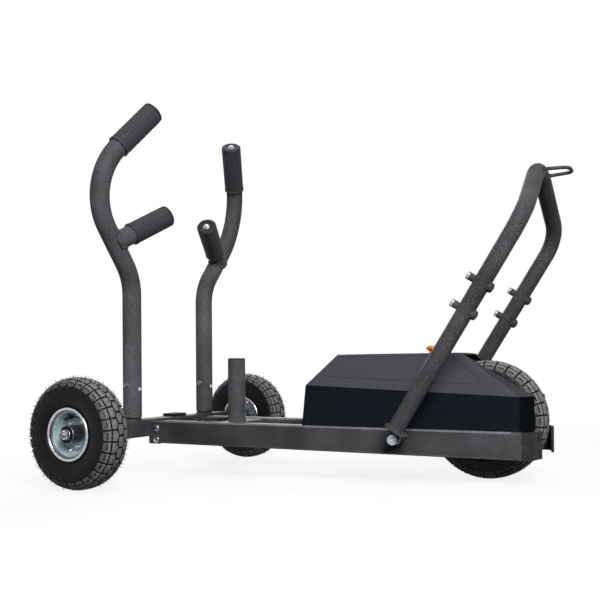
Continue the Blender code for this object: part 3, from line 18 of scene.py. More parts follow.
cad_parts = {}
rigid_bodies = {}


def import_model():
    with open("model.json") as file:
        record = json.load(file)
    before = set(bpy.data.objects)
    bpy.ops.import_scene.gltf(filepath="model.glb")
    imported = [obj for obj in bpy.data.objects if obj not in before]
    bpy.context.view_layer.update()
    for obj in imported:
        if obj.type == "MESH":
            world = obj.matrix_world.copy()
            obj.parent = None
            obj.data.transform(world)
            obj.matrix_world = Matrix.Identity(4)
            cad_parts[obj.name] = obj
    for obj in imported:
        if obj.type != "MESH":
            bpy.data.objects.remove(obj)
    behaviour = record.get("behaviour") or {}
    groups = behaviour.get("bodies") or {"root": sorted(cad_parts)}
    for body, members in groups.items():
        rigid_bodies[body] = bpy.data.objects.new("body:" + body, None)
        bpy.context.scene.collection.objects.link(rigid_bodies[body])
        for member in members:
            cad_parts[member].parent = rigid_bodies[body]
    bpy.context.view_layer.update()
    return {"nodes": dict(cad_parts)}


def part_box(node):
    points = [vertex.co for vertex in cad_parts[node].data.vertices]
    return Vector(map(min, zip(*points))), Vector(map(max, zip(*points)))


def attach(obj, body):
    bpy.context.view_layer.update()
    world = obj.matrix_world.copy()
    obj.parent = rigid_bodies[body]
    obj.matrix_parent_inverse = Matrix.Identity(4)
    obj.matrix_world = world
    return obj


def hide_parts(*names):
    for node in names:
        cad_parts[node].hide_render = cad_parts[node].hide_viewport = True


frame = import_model()

# %% [markdown]
# The sled was drawn level, with X measured forward from the rear axle and Z up from the ground under
# the rear tyres. The real one stands nose down on three equal tyres. It is easier to model a level
# sled and tip each finished piece, so one matrix takes level places to real ones. It is found from
# the rear axle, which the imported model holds, and the front axle's rise over it in the level drawing.

# %% Level places to real ones
WHEELBASE = 0.9155
FRONT_AXLE_RISE = 0.0345
TYRE_R = 0.140


def middle(node):
    low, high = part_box(node)
    return (low + high) / 2


tip = math.atan2(FRONT_AXLE_RISE, WHEELBASE)
turn = Matrix.Rotation(tip, 4, "Y")
LEVEL = Matrix.Translation(middle("rear_axle") - turn @ Vector((0, 0, TYRE_R))) @ turn
print("nose down by", round(math.degrees(tip), 2), "degrees")

# %% [markdown]
# Blender's operators work on a bmesh, which holds points, edges and faces and no more. To be seen it
# has to become a mesh on an object. A modifier or a curve needs an object too, so one is made for
# them, evaluated and thrown away, and the next step gets a fresh bmesh. That keeps the scene clean,
# and nothing stays live on a finished piece.

# %% Meshes and objects
SIDES = (("right", -1), ("left", 1))
X, Y, Z = (Vector(axis) for axis in ((1, 0, 0), (0, 1, 0), (0, 0, 1)))


def placed(name, data):
    """New object in the scene."""
    made = bpy.data.objects.new(name, data)
    bpy.context.scene.collection.objects.link(made)
    return made


def as_mesh(bm, name="work"):
    """Mesh of a bmesh, which is freed."""
    mesh = bpy.data.meshes.new(name)
    bm.to_mesh(mesh)
    bm.free()
    return mesh


def evaluated(data, kind=None, **settings):
    """A curve, or a mesh under one modifier, as a new bmesh."""
    worker = placed("worker", data)
    if kind:
        step = worker.modifiers.new(kind.lower(), kind)
        for name, value in settings.items():
            setattr(step, name, value)
    graph = bpy.context.evaluated_depsgraph_get()
    made = bpy.data.meshes.new_from_object(worker.evaluated_get(graph))
    bm = bmesh.new()
    bm.from_mesh(made)
    bpy.data.batch_remove([worker, data, made])
    return bm


def moved(bm, matrix):
    bmesh.ops.transform(bm, matrix=matrix, verts=bm.verts)
    if matrix.determinant() < 0:
        bmesh.ops.reverse_faces(bm, faces=bm.faces)
    return bm


def shifted(bm, *by):
    return moved(bm, Matrix.Translation(by))


print("sides:", [name for name, _ in SIDES])

# %% [markdown]
# A finished piece is tipped to its real place, shaded smooth except at sharp edges, given its
# finishes, and tied to the body that it moves with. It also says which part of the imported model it
# stands for.

# %% Finish a piece
TALLY = {}


def finished(node, bm, finishes, body="frame", name=None, angle=32):
    """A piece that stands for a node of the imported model, or for none."""
    name = name or node + "_dressed"
    mesh = as_mesh(moved(bm, LEVEL), name)
    for finish in finishes:
        mesh.materials.append(finish)
    mesh.shade_smooth()
    mesh.set_sharp_from_angle(angle=math.radians(angle))
    piece = placed(name, mesh)
    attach(piece, body)
    if node:
        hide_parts(node)
    TALLY[name] = sum(len(p.vertices) - 2 for p in mesh.polygons)


print("body of the frame:", len(frame["nodes"]), "nodes")

# %% [markdown]
# ## Finishes
# A finish starts from a Principled shader. One function turns a hex colour to linear light, and one
# adds a node with its settings and links, so a finish reads as a short list of nodes. Patterns read
# Object coordinates, in metres, so a scale of 1000 gives a pattern about a millimetre wide. All the
# dark finishes have a low specular level: the room is white, and a full one would lay a grey haze on
# them that the eye doesn't see.

# %% Colour and nodes


def colour(code):
    """sRGB hex to the linear colour that a shader works in."""
    channels = [int(code[i:i + 2], 16) / 255 for i in (0, 2, 4)]
    return (*[c / 12.92 if c <= 0.04045 else ((c + 0.055) / 1.055) ** 2.4 for c in channels], 1.0)


def add(tree, kind, inputs=(), stops=(), to=None, **settings):
    """Add a node. Inputs give a socket's value, or the output that is linked to it. Stops are a ramp's
    places and hex colours. The node's first output is linked to a socket, where one is given."""
    made = tree.nodes.new("ShaderNode" + kind)
    for name, value in settings.items():
        setattr(made, name, value)
    for key, value in dict(inputs).items():
        if isinstance(value, bpy.types.NodeSocket):
            tree.links.new(value, made.inputs[key])
        else:
            made.inputs[key].default_value = value
    for i, (at, code) in enumerate(stops):
        if i == len(made.color_ramp.elements):
            made.color_ramp.elements.new(1.0)
        made.color_ramp.elements[i].position = at
        made.color_ramp.elements[i].color = colour(code)
    if to:
        tree.links.new(made.outputs[0], to)
    return made


def started(name, code, roughness, metallic=0.0, shine=0.5, soft=0.0):
    """New material: its tree, its shader and its Object coordinates."""
    made = bpy.data.materials.new(name)
    made.use_nodes = True
    tree = made.node_tree
    shader = tree.nodes["Principled BSDF"]
    for socket, value in (("Base Color", colour(code)), ("Roughness", roughness), ("Metallic", metallic),
                          ("Specular IOR Level", shine), ("Subsurface Weight", soft)):
        shader.inputs[socket].default_value = value
    return made, tree, shader, add(tree, "TexCoord").outputs["Object"]


print("charcoal in linear light:", [round(c, 3) for c in colour("3a3a3d")])

# %% [markdown]
# ### Powder coat
# Polyester powder is sprayed dry on the steel and baked. This one is a fine-texture charcoal: it
# dries in grains about half a millimetre wide, whose glints are painted as pale specks in the colour,
# a painted highlight. The grains are drawn near 2 mm, because finer ones vanish at this picture's
# size. The box tubes and the arch wear a darker copy of the coat, painted shade. A tube's corners
# wear a paler copy, a painted highlight, and the bent plates a darker one, painted shade.

# %% Charcoal powder coat


def powder_coat(name, dark, mid, pale):
    made, tree, shader, place = started(name, mid, 0.46, shine=0.03)
    inputs = {"Vector": place, "Scale": 470.0, "Detail": 5.0, "Roughness": 0.85}
    grain = add(tree, "TexNoise", inputs).outputs["Fac"]
    drift = add(tree, "TexNoise", {"Vector": place, "Scale": 9.0, "Detail": 2.0}).outputs["Fac"]
    mixed = add(tree, "Math", {0: drift, 1: 0.20, 2: grain}, operation="MULTIPLY_ADD").outputs[0]
    # The pale stop paints the grains' glints as pale specks: a painted highlight.
    stops = ((0.42, dark), (0.58, mid), (0.76, pale))
    add(tree, "ValToRGB", {"Fac": mixed}, stops, shader.inputs["Base Color"])
    add(tree, "Bump", {"Height": grain, "Strength": 0.12, "Distance": 0.0005}, to=shader.inputs["Normal"])
    return made


CHARCOAL = powder_coat("charcoal powder coat", "313133", "434346", "7c7b80")
# Copies of one coat: painted shade on the box tubes and the arch, a painted highlight on the tubes' corners,
# and painted shade on the bent plates.
SHADED_COAT = powder_coat("charcoal coat with painted shade on the box tubes", "232325", "333335", "6c6b70")
CORNER_HIGHLIGHT_COAT = powder_coat("charcoal coat with a painted highlight on the corners", "404042", "5c5c5f", "97969a")
SHADED_PLATE_COAT = powder_coat("charcoal coat with painted shade on the bent plates", "1a1a1c", "29292b", "48484b")
print(CHARCOAL.name, SHADED_COAT.name, CORNER_HIGHLIGHT_COAT.name, SHADED_PLATE_COAT.name)

# %% [markdown]
# ### Zinc plate
# Bolts, axles, hubs and rims are bright zinc with a clear blue passivate. The eye reads a cool
# silver, slightly cloudy, with faint patches a few millimetres wide. The wider patches on the pressed
# bowls are partly passivate and partly painted reflection. The flat web is darker, a painted shade,
# and the rolled lip, which the press burnishes, is smoother and less blue. Passivate clouds the bowls
# so much that they look half like grey paint, so those two finishes are only part metal. Threads hold
# more of it, and stay dull; the step behind the lip and the hub's shell take the dull zinc as painted
# shade.

# %% Zinc plate


def zinc_plate(name, dark, pale, roughness, scale=260.0, metallic=1.0):
    made, tree, shader, place = started(name, pale, roughness, metallic)
    inputs = {"Vector": place, "Scale": scale, "Detail": 4.0, "Roughness": 0.65}
    cloud = add(tree, "TexNoise", inputs).outputs["Fac"]
    add(tree, "ValToRGB", {"Fac": cloud}, ((0.30, dark), (0.65, pale)), shader.inputs["Base Color"])
    add(tree, "Bump", {"Height": cloud, "Strength": 0.08, "Distance": 0.0004}, to=shader.inputs["Normal"])
    haze = {"Value": cloud, "To Min": roughness * 0.75, "To Max": roughness * 1.5}
    add(tree, "MapRange", haze, to=shader.inputs["Roughness"])
    return made


ZINC = zinc_plate("zinc plate", "8f979c", "c3cacf", 0.26)
# The bowls' wider patches are partly painted reflection, and the web's darker zinc is painted shade.
RIM_ZINC = zinc_plate("blue zinc rim", "8fa2a8", "bfd0d4", 0.34, 120.0, 0.25)
SHADED_WEB_ZINC = zinc_plate("zinc web with painted shade", "58656b", "8d9ca2", 0.38, 170.0, 0.4)
RIM_LIP = zinc_plate("polished rim lip", "9a9b9e", "cdced1", 0.16, 200.0)
# The dull zinc is also painted shade, on the rim's step and on the hub's shell.
DULL_AND_SHADED_ZINC = zinc_plate("dull zinc, also painted shade", "4a4d50", "808589", 0.36, 300.0)
print(ZINC.name, RIM_ZINC.name, SHADED_WEB_ZINC.name, RIM_LIP.name, DULL_AND_SHADED_ZINC.name)

# %% [markdown]
# ### Rubbers and plastics
# Moulded rubber and nylon are near black with a fine even grain, and grip rubber is a little paler
# and shinier. The cover is moulded plastic. Its lower box is glossy and slightly blue, its hood
# satin and greyer. The faces of both that slope down to the front turn away from the light, so they
# have darker, matt copies of those finishes of their own: painted shade.

# %% Rubber, plastic and the metals inside


def grained(name, dark, pale, roughness, scale, strength, metallic=0.0, shine=0.5, soft=0.0):
    """Moulded or cast surface with a fine even grain."""
    made, tree, shader, place = started(name, pale, roughness, metallic, shine, soft)
    grain = add(tree, "TexNoise", {"Vector": place, "Scale": scale, "Detail": 3.0}).outputs["Fac"]
    add(tree, "ValToRGB", {"Fac": grain}, ((0.35, dark), (0.68, pale)), shader.inputs["Base Color"])
    add(tree, "Bump", {"Height": grain, "Strength": strength, "Distance": 0.0003}, to=shader.inputs["Normal"])
    return made


GRIP_RUBBER = grained("moulded grip rubber", "323236", "46464b", 0.40, 900.0, 0.15, shine=0.07)
PAD_RUBBER = grained("pad rubber", "19191a", "242425", 0.75, 700.0, 0.3, shine=0.08)
CAP_PLASTIC = grained("black nylon cap", "1d1d20", "2b2b2f", 0.42, 800.0, 0.12, shine=0.14)
SEAL_AND_SHADOW_BLACK = grained("black seal rubber, also a painted shadow", "0c0c0e", "151517", 0.50, 800.0, 0.1, shine=0.08)
GLOSS_BLACK = grained("gloss black moulding", "13171d", "161b22", 0.26, 90.0, 0.012, shine=0.02)
SATIN_BLACK = grained("satin black moulding", "34353a", "404146", 0.38, 1100.0, 0.08, shine=0.14)
# The nose and the hood's front slope wear darker, matt copies of the mouldings: painted shade.
SHADED_NOSE_BLACK = grained("black nose with painted shade", "0c0d10", "141518", 0.6, 90.0, 0.012, shine=0.0)
SHADED_SLOPE_BLACK = grained("black hood slope with painted shade", "232427", "2f3033", 0.5, 1100.0, 0.08, shine=0.05)
ORANGE = grained("orange nylon", "ee6f0c", "fb8320", 0.38, 500.0, 0.06, soft=0.03)
ALUMINIUM = grained("cast aluminium", "83868a", "a3a6aa", 0.42, 500.0, 0.2, 1.0)
MACHINED = grained("machined aluminium", "aeb2b6", "c9ccd0", 0.24, 700.0, 0.05, 1.0)
STEEL_PLATE = grained("grey painted plate", "45474a", "5b5e62", 0.5, 500.0, 0.15)
BEARING_STEEL = grained("ground bearing steel", "7d8287", "a2a7ac", 0.25, 600.0, 0.05, 1.0)
WHITE_DOT = grained("pale nylon button", "b9bcbf", "d6d8da", 0.4, 500.0, 0.05)
print(len(bpy.data.materials), "materials")

# %% [markdown]
# ### Tyre rubber
# The tread and the sidewall are one rubber, near black from its soot. The tops of the blocks are
# grey with talc and dust, the ones on the shoulder less so, and the walls and grooves between them
# are dark. The sidewall is darkest near the rim. The distance from the axle says how dark it is, so
# each wheel has its own copy of the finish, with a Mapping node that centres it on that wheel.

# %% Tyre rubber
WHEELS = {"rear_right": ("wheel_right", -1), "rear_left": ("wheel_left", 1), "front": ("front_wheel", 1)}
CENTRES = {label: middle(label + "_tyre") for label in WHEELS}


def tyre_rubber(name, centre):
    made, tree, shader, place = started(name, "121213", 0.44, shine=0.12)
    local = add(tree, "Mapping", {"Vector": place, "Location": -centre})
    split = add(tree, "SeparateXYZ", {"Vector": local.outputs["Vector"]})
    flat = add(tree, "CombineXYZ", {"X": split.outputs["X"], "Z": split.outputs["Z"]})
    radius = add(tree, "VectorMath", {0: flat.outputs["Vector"]}, operation="LENGTH").outputs["Value"]
    grain = add(tree, "TexNoise", {"Vector": place, "Scale": 420.0, "Detail": 3.0}).outputs["Fac"]
    shift = add(tree, "Math", {0: grain, 1: 0.012, 2: radius}, operation="MULTIPLY_ADD").outputs[0]
    # The ramp's factor runs from darkest near the rim to paler towards the tread.
    paler_outwards = add(tree, "MapRange", {"Value": shift, "From Min": 0.075, "From Max": 0.150}).outputs["Result"]
    stops = ((0.0, "070708"), (0.35, "0d0d10"), (0.80, "1a1a1e"))
    add(tree, "ValToRGB", {"Fac": paler_outwards}, stops, shader.inputs["Base Color"])
    add(tree, "Bump", {"Height": grain, "Strength": 0.25, "Distance": 0.0005}, to=shader.inputs["Normal"])
    return made


TREAD_DUST = grained("dusty tread", "5a5a5b", "898989", 0.74, 330.0, 0.35, shine=0.12)
SHOULDER_DUST = grained("darker shoulder", "3b3b3e", "6b6b6e", 0.66, 330.0, 0.35, shine=0.15)
for label, centre in CENTRES.items():
    print(label, [round(c, 4) for c in centre])

# %% [markdown]
# ## Wheels
# Round pieces are spun: some points of radius and height are joined by edges and turned about Z. The
# ends of a full turn meet in a doubled seam, so doubles are merged and the normals made to look
# outwards. A Screw modifier would give the same, but the operator needs no object.

# %% Spin a profile


def mm(*points):
    """Points written in millimetres, in metres."""
    return [tuple(c / 1000 for c in point) for point in points]


def cleaned(bm):
    bmesh.ops.remove_doubles(bm, verts=bm.verts, dist=0.000002)
    bmesh.ops.recalc_face_normals(bm, faces=bm.faces)
    return bm


def spun(profile, steps=72, closed=False):
    """Turn a profile of radius and height about Z."""
    bm = bmesh.new()
    points = [bm.verts.new((r, 0, h)) for r, h in profile]
    pairs = list(zip(points, points[1:])) + ([(points[-1], points[0])] if closed else [])
    edges = [bm.edges.new(pair) for pair in pairs]
    bmesh.ops.spin(bm, geom=points + edges, cent=(0, 0, 0), axis=Z, angle=2 * math.pi, steps=steps,
                   use_merge=True)
    return cleaned(bm)


print("spin test:", len(spun(mm((0, 0), (10, 0), (10, 5), (0, 5)), 12).faces), "faces")

# %% [markdown]
# ### Tyre
# The tyre is a 280 mm pneumatic one for a 4 inch rim. Its casing is one spun profile. The tread is
# blocks of rubber in rows: one in the middle, staggered against a row of pointed blocks on each side
# of it, then a row split by a zigzag cut, and low steps that run out on the sidewall. Each block is
# drawn flat, as length along the tread, distance across it and height, and then wrapped on to the
# casing. One pitch of blocks is repeated around the wheel.

# %% Casing
CASING_R = 0.1345
CASING_HALF = 0.0425
BULGE_R = 0.100
BEAD_R = 0.0665
BEAD_HALF = 0.0330
PITCHES = 30


def casing_half(count=26):
    """Outer skin from the crown down to the rim's edge, as radius and distance from the middle."""
    points = []
    for i in range(count + 1):
        r = CASING_R - (CASING_R - BEAD_R) * (i / count) ** 1.35
        if r > BULGE_R:
            share = (r - BULGE_R) / (CASING_R - BULGE_R)
            y = CASING_HALF * (1 - share ** 2.5) ** (1 / 2.2)
        else:
            share = (BULGE_R - r) / (BULGE_R - BEAD_R)
            y = CASING_HALF - (CASING_HALF - BEAD_HALF) * share ** 1.6
        points.append((r, y))
    return points


HALF = casing_half()
ARC = np.concatenate([[0.0], np.cumsum([math.dist(a, b) for a, b in zip(HALF, HALF[1:])])])
HALF_R, HALF_Y = zip(*HALF)
print("casing: crown to bead", round(ARC[-1] * 1000, 1), "mm")


def casing():
    """The skin at even steps, with the sidewall's raised rings, and the beads and the air's side."""
    at = np.linspace(0, ARC[-1], 110)
    skin = zip(np.interp(at, ARC, HALF_R).tolist(), np.interp(at, ARC, HALF_Y).tolist())
    rings = mm((71.5, 1.3), (76, 0.7), (87.5, 0.8), (96, 0.6))
    outer = [(r, y + sum(h * math.exp(-((r - ring) / 0.0010) ** 2) for ring, h in rings)) for r, y in skin]
    half = outer + mm((64, 32.2), (61.4, 28.5), (60.2, 26.2), (60.2, 20), (100, 34), (124, 24))
    return spun(half + [(r, -y) for r, y in reversed(half[1:])], 120, closed=True)

# %% [markdown]
# Many pieces are made of several shapes, such as a casing and its blocks or a tube and its weld. They
# are joined into one bmesh, without being cut by one another, which is quick and can't fail. Each
# face keeps a number, which says which of the piece's finishes it wears.

# %% Join shapes and number their faces


def numbered(bm, choice):
    """Give each face the number of its finish."""
    for face in bm.faces:
        face.material_index = choice(face)
    return bm


def gathered(pieces):
    """Several bmeshes in one. Each may come with the number of its finish."""
    whole = bmesh.new()
    for piece in pieces:
        if isinstance(piece, tuple):
            piece = numbered(piece[0], lambda face: piece[1])
        mesh = as_mesh(piece)
        whole.from_mesh(mesh)
        bpy.data.meshes.remove(mesh)
    return whole


print("join test:", len(gathered([(spun(mm((0, 0), (5, 0), (0, 5)), 8), 1)]).faces), "faces")

# %% [markdown]
# Blocks are drawn on a flat tread and then moved to the casing. A point's distance across the tread
# becomes a place on the casing, its length an angle, and its height a step out along the normal.
# Blocks are tall in the middle of the tread and run out to nothing much on the sidewall.

# %% From flat tread to casing
PITCH = 2 * math.pi / PITCHES
LENGTH = PITCH * TYRE_R
BLOCK = 0.0051
SUNK = 0.0012


def on_casing(across, along, height, side=1):
    """Place of a tread point about the axle."""
    across_of = [abs(across), abs(across) + 0.0005]
    (r, r2), (y, y2) = (np.interp(across_of, ARC, values) for values in (HALF_R, HALF_Y))
    run = Vector((r2 - r, y2 - y)).normalized()
    r += run.y * height
    y = (y - run.x * height) * (1 if across >= 0 else -1)
    angle = along / TYRE_R
    return Vector((r * math.cos(angle), r * math.sin(angle), y * side))


def relief(across):
    """Height of the tread at a distance from its middle, as a share of the middle's."""
    return float(np.interp(abs(across), (0, 0.026, 0.0445, 0.047, 0.056), (1, 0.97, 0.38, 0.30, 0.14)))


print("one pitch:", round(LENGTH * 1000, 1), "mm long")

# %% [markdown]
# A block starts as a flat outline. It is extruded to its height, its top is drawn in a little, as a
# mould needs, and its top edges are bevelled. The top then takes the dusty finish and the walls keep
# the dark one. At last each of its points is moved to the casing.

# %% One tread block


def raised(outline):
    """New bmesh of an outline with its face extruded in place, and the points of the extrusion."""
    bm = bmesh.new()
    base = bm.faces.new([bm.verts.new(p) for p in outline])
    top = bmesh.ops.extrude_face_region(bm, geom=[base])
    return bm, [v for v in top["geom"] if isinstance(v, bmesh.types.BMVert)]


def block(outline, side, shift, top_finish=1):
    """One tread block. The outline's distances are millimetres, its lengths shares of a pitch."""
    bm, lifted = raised([(across / 1000, along * LENGTH, 0) for across, along in outline])
    centre = sum((v.co for v in lifted), Vector()) / len(lifted)
    bmesh.ops.translate(bm, vec=(0, 0, BLOCK), verts=lifted)
    bmesh.ops.scale(bm, vec=(0.95, 0.95, 1), verts=lifted, space=Matrix.Translation(-centre))
    rim_edges = [e for e in bm.edges if all(v in lifted for v in e.verts)]
    bmesh.ops.bevel(bm, geom=rim_edges, offset=0.0005, segments=2, profile=0.5, affect="EDGES", material=-1)
    for plane in range(-6, 57, 4):
        bmesh.ops.bisect_plane(bm, geom=bm.verts[:] + bm.edges[:] + bm.faces[:],
                               plane_co=(plane / 1000, 0, 0),
                               plane_no=X)
    bmesh.ops.recalc_face_normals(bm, faces=bm.faces)
    numbered(bm, lambda face: top_finish if face.normal.z > 0.3 else 0)
    for vert in bm.verts:
        rise = -SUNK if vert.co.z < 0.0001 else vert.co.z * relief(vert.co.x)
        vert.co = on_casing(vert.co.x, vert.co.y + shift * LENGTH, rise, side)
    bmesh.ops.recalc_face_normals(bm, faces=bm.faces)
    return bm


print("middle of the tread stands", round((CASING_R + BLOCK) * 1000, 1), "mm from the axle")

# %% [markdown]
# The rows are outlines on the flat tread. They were read off a real tyre of this pattern: distances
# across are in millimetres and lengths in shares of a pitch, so the pattern closes on itself.

# %% Rows of blocks


def zigzag(across, depth, start, end, count=6):
    """Edge of a wavy cut that stops short of both ends: points that step to and fro."""
    wave = [(across + (depth if i % 2 else -depth), start + (end - start) * (0.19 + 0.62 * i / count))
            for i in range(count + 1)]
    return [(CUT_LINE, start), (CUT_LINE, start + (end - start) * 0.15)] + wave + [
        (CUT_LINE, start + (end - start) * 0.85), (CUT_LINE, end)]


def both(*half):
    """Outline that is the same on both sides of its middle."""
    return [*half, *((across, -along) for across, along in reversed(half))]


CUT_LINE = 34.9
MIDDLE_ROW = both((-8.4, -0.13), (-5.9, -0.44), (5.9, -0.44), (8.4, -0.13))
POINTED_ROW = [(12.2, -0.44), (24.0, -0.455), (24.4, 0.0), (24.0, 0.455), (12.2, 0.44), (9.0, 0.10),
               (9.0, -0.10)]
SPLIT_INNER = [(26.6, -0.45)] + zigzag(33.7, 0.75, -0.44, 0.44) + [(26.6, 0.45), (27.0, 0.0)]
SPLIT_OUTER = zigzag(36.1, 0.75, 0.44, -0.44) + [(43.2, -0.43), (44.9, -0.35), (44.9, 0.35), (43.2, 0.43)]
STEP_UPPER = both((46.4, -0.36), (50.4, -0.33))
STEP_LOWER = both((51.4, -0.26), (55.0, -0.23))
ROWS = ((POINTED_ROW, 1), (SPLIT_INNER, 1), (SPLIT_OUTER, 2), (STEP_UPPER, 0), (STEP_LOWER, 0))


def tread():
    """One pitch, with the middle block half a pitch on from the others, and then all of them."""
    made = [block(outline, side, 0.0, finish) for side in (1, -1) for outline, finish in ROWS]
    bm = gathered([block(MIDDLE_ROW, 1, 0.5)] + made)
    bmesh.ops.spin(bm, geom=bm.verts[:] + bm.edges[:] + bm.faces[:], cent=(0, 0, 0), axis=Z,
                   angle=PITCH * (PITCHES - 1), steps=PITCHES - 1, use_duplicate=True)
    return bm


tyre_mesh = gathered([casing(), tread()])
print("tyre without hairs:", len(tyre_mesh.faces), "faces")

# %% [markdown]
# New tyres keep thin rubber hairs, where rubber rose into the mould's vents. They are cones a few
# millimetres long, placed by a seeded random draw. Near the ground and at the very back none stands
# beyond the crown, so that the sled's reach stays as it is, and those inside the cover are short.

# %% Vent hairs
VENTS = 60
HAIR_ROWS = (0.004, 0.017, 0.030, 0.040, 0.0475)
HAIR_LEAN = 0.22
CROWN_R = 0.1392


def facing(place, direction):
    """Matrix that puts +Z along a direction at a place."""
    return Matrix.Translation(place) @ Vector(direction).to_track_quat("Z", "Y").to_matrix().to_4x4()


def hair(root, end):
    bm = bmesh.new()
    bmesh.ops.create_cone(bm, cap_ends=True, segments=5, radius1=0.00078, radius2=0.00036,
                          depth=(end - root).length)
    return moved(bm, facing((root + end) / 2, end - root))


def hairs(length, bare):
    """Hairs all round. Near a bare angle, in degrees with its reach, none stands beyond the crown."""
    random.seed(7)
    made = []
    for across, side, i in ((a, s, i) for a in HAIR_ROWS for s in (1, -1) for i in range(VENTS)):
        turn = 360 * (i + random.random()) / VENTS
        along = LENGTH * PITCHES * turn / 360
        spot = across + random.uniform(-0.003, 0.003)
        root = on_casing(spot, along, 0.001, side)
        tip_at = on_casing(spot, along, BLOCK * relief(spot) + length * random.uniform(0.6, 1.0), side)
        tip_at += Vector([random.uniform(-1, 1) for _ in range(3)]) * length * HAIR_LEAN
        outside = math.hypot(tip_at.x, tip_at.y) > CROWN_R
        if not (outside and any(abs((turn - at + 180) % 360 - 180) < reach for at, reach in bare)):
            made.append(hair(root, tip_at))
    return gathered(made)


print("up to", VENTS * 2 * len(HAIR_ROWS), "hairs on a tyre")

# %% [markdown]
# All three wheels are the same, so each is drawn once, lying on its side, and copied to its place.
# The angles of the bare places run from the wheel's drawing, with its top at 90 degrees. The left
# wheel is seen from the other side, so its back is at 0.

# %% Tyres in their places


def on_wheel(label):
    """Matrix from a wheel drawn with its outer face to +Z and its top to +Y, to its place on the sled."""
    out = Y * WHEELS[label][1]
    turned = Matrix((Z.cross(out), Z, out)).transposed().to_4x4()
    return Matrix.Translation(LEVEL.inverted() @ CENTRES[label]) @ turned


GROUND, BACK_RIGHT, BACK_LEFT = (270, 27), (180, 27), (0, 27)
HAIRS = {"rear_right": (0.0070, (GROUND, BACK_RIGHT)), "rear_left": (0.0070, (GROUND, BACK_LEFT)),
         "front": (0.0020, (GROUND,))}
for label, (body, side) in WHEELS.items():
    whole = moved(gathered([tyre_mesh.copy(), hairs(*HAIRS[label])]), on_wheel(label))
    rubber = tyre_rubber(label + " tyre rubber", CENTRES[label])
    finished(label + "_tyre", whole, [rubber, TREAD_DUST, SHOULDER_DUST], body)
    print(label, TALLY[label + "_tyre_dressed"], "triangles")
tyre_mesh.free()

# %% [markdown]
# ### Rim and hub
# Pressed and bent metal has no sharp corners, so a profile or a path is filleted: each corner gives
# way to an arc. A bar along a path is a curve with a round bevel, and a hole is a Boolean with the
# exact solver, which copes with faces that touch.

# %% Fillets, bars and holes


def filleted(corners, radius, step=9):
    """Round each inner corner of a path. The step is in degrees of turn."""
    corners = [Vector(c) for c in corners]
    radii = radius if isinstance(radius, list) else [radius] * (len(corners) - 2)
    path = [corners[0]]
    for before, corner, after, size in zip(corners, corners[1:], corners[2:], radii):
        back = (before - corner).normalized()
        on = (after - corner).normalized()
        half = back.angle(on) / 2
        if half > math.radians(89.5):
            path.append(corner)
            continue
        centre = corner + (back + on).normalized() * size / math.sin(half)
        first = corner + back * size / math.tan(half) - centre
        last = corner + on * size / math.tan(half) - centre
        sweep = first.angle(last)
        count = max(2, round(math.degrees(sweep) / step))
        for t in (i / count for i in range(count + 1)):
            spoke = math.sin((1 - t) * sweep) * first + math.sin(t * sweep) * last
            path.append(centre + spoke / math.sin(sweep))
    path.append(corners[-1])
    return path


def curved(lines, loop, sizes=None, **settings):
    """What a curve with these settings makes of lines of points. Sizes may scale it at each point."""
    curve = bpy.data.curves.new("curve", "CURVE")
    for name, value in settings.items():
        setattr(curve, name, value)
    for line in lines:
        spline = curve.splines.new("POLY")
        spline.points.add(len(line) - 1)
        spline.use_cyclic_u = loop
        for i, place in enumerate(line):
            spline.points[i].co = (*Vector(place).to_3d(), 1)
            spline.points[i].radius = sizes[i] if sizes else 1
    return cleaned(evaluated(curve))


def swept(path, radius, sides=36, sizes=None, loop=False):
    """Round bar along a path."""
    return curved([path], loop, sizes, dimensions="3D", bevel_depth=radius, bevel_resolution=sides // 2 - 2,
                  use_fill_caps=not loop)


def cut(bm, tool):
    mesh = as_mesh(tool)
    worker = placed("tool", mesh)
    made = evaluated(as_mesh(bm), "BOOLEAN", object=worker, operation="DIFFERENCE", solver="EXACT")
    bpy.data.batch_remove([worker, mesh])
    return made


print("fillet test:", len(filleted([(0, 0, 0), (1, 0, 0), (1, 1, 0)], 0.2)), "points")

# %% [markdown]
# The rim is two pressed steel bowls, bolted back to back. Each has a rolled lip, a step, a small
# ridge, a cone that narrows inwards and a flat web. The web has five bolts, an oval slot between each
# two, and a rubber valve. One spun profile gives the bowls, and the slots are cut through the web.

# %% Rim
BOLT_CIRCLE = 0.033
BOLT_COUNT = 5
BOLT_ANGLE = 32
SLOT_CIRCLE = 0.0445
RIM_FINISHES = [RIM_ZINC, CAP_PLASTIC, RIM_LIP, DULL_AND_SHADED_ZINC, ZINC, SHADED_WEB_ZINC]


def clock(radius, degrees, height=0.0):
    """Place on a wheel's face, by its clockwise angle from the top."""
    angle = math.radians(degrees)
    return Vector((radius * math.sin(angle), radius * math.cos(angle), height))


def rim_profile():
    """From the outer lip over the visible bowl to the web, then back along the tyre's side."""
    lip = [(0.0629 + 0.0039 * math.cos(math.radians(a)), 0.0346 + 0.0039 * math.sin(math.radians(a)))
           for a in range(-10, 181, 19)]
    face = mm((59, 34.6, 0), (58.8, 32.2, 0), (58.2, 30.4, 0), (56.8, 29.5, 0), (55.6, 29.1, 0),
              (54.8, 29.2, 0),
              (54.3, 30, 0), (53.5, 29.9, 0), (52.9, 28.6, 0), (46.4, 5.2, 0), (45, 3.2, 0), (43, 2.6, 0),
              (21.6, 2.6, 0))
    bowl = lip + [(p.x, p.y) for p in filleted(face, 0.0006, 25)][1:]
    side = mm((63.4, 31.8), (60.6, 28.4), (59.6, 26.8), (56, 26.4), (54.5, 25.8), (50, 12))
    return bowl + [(r, -y) for r, y in reversed(bowl)] + [(r, -y) for r, y in side] + side[::-1]


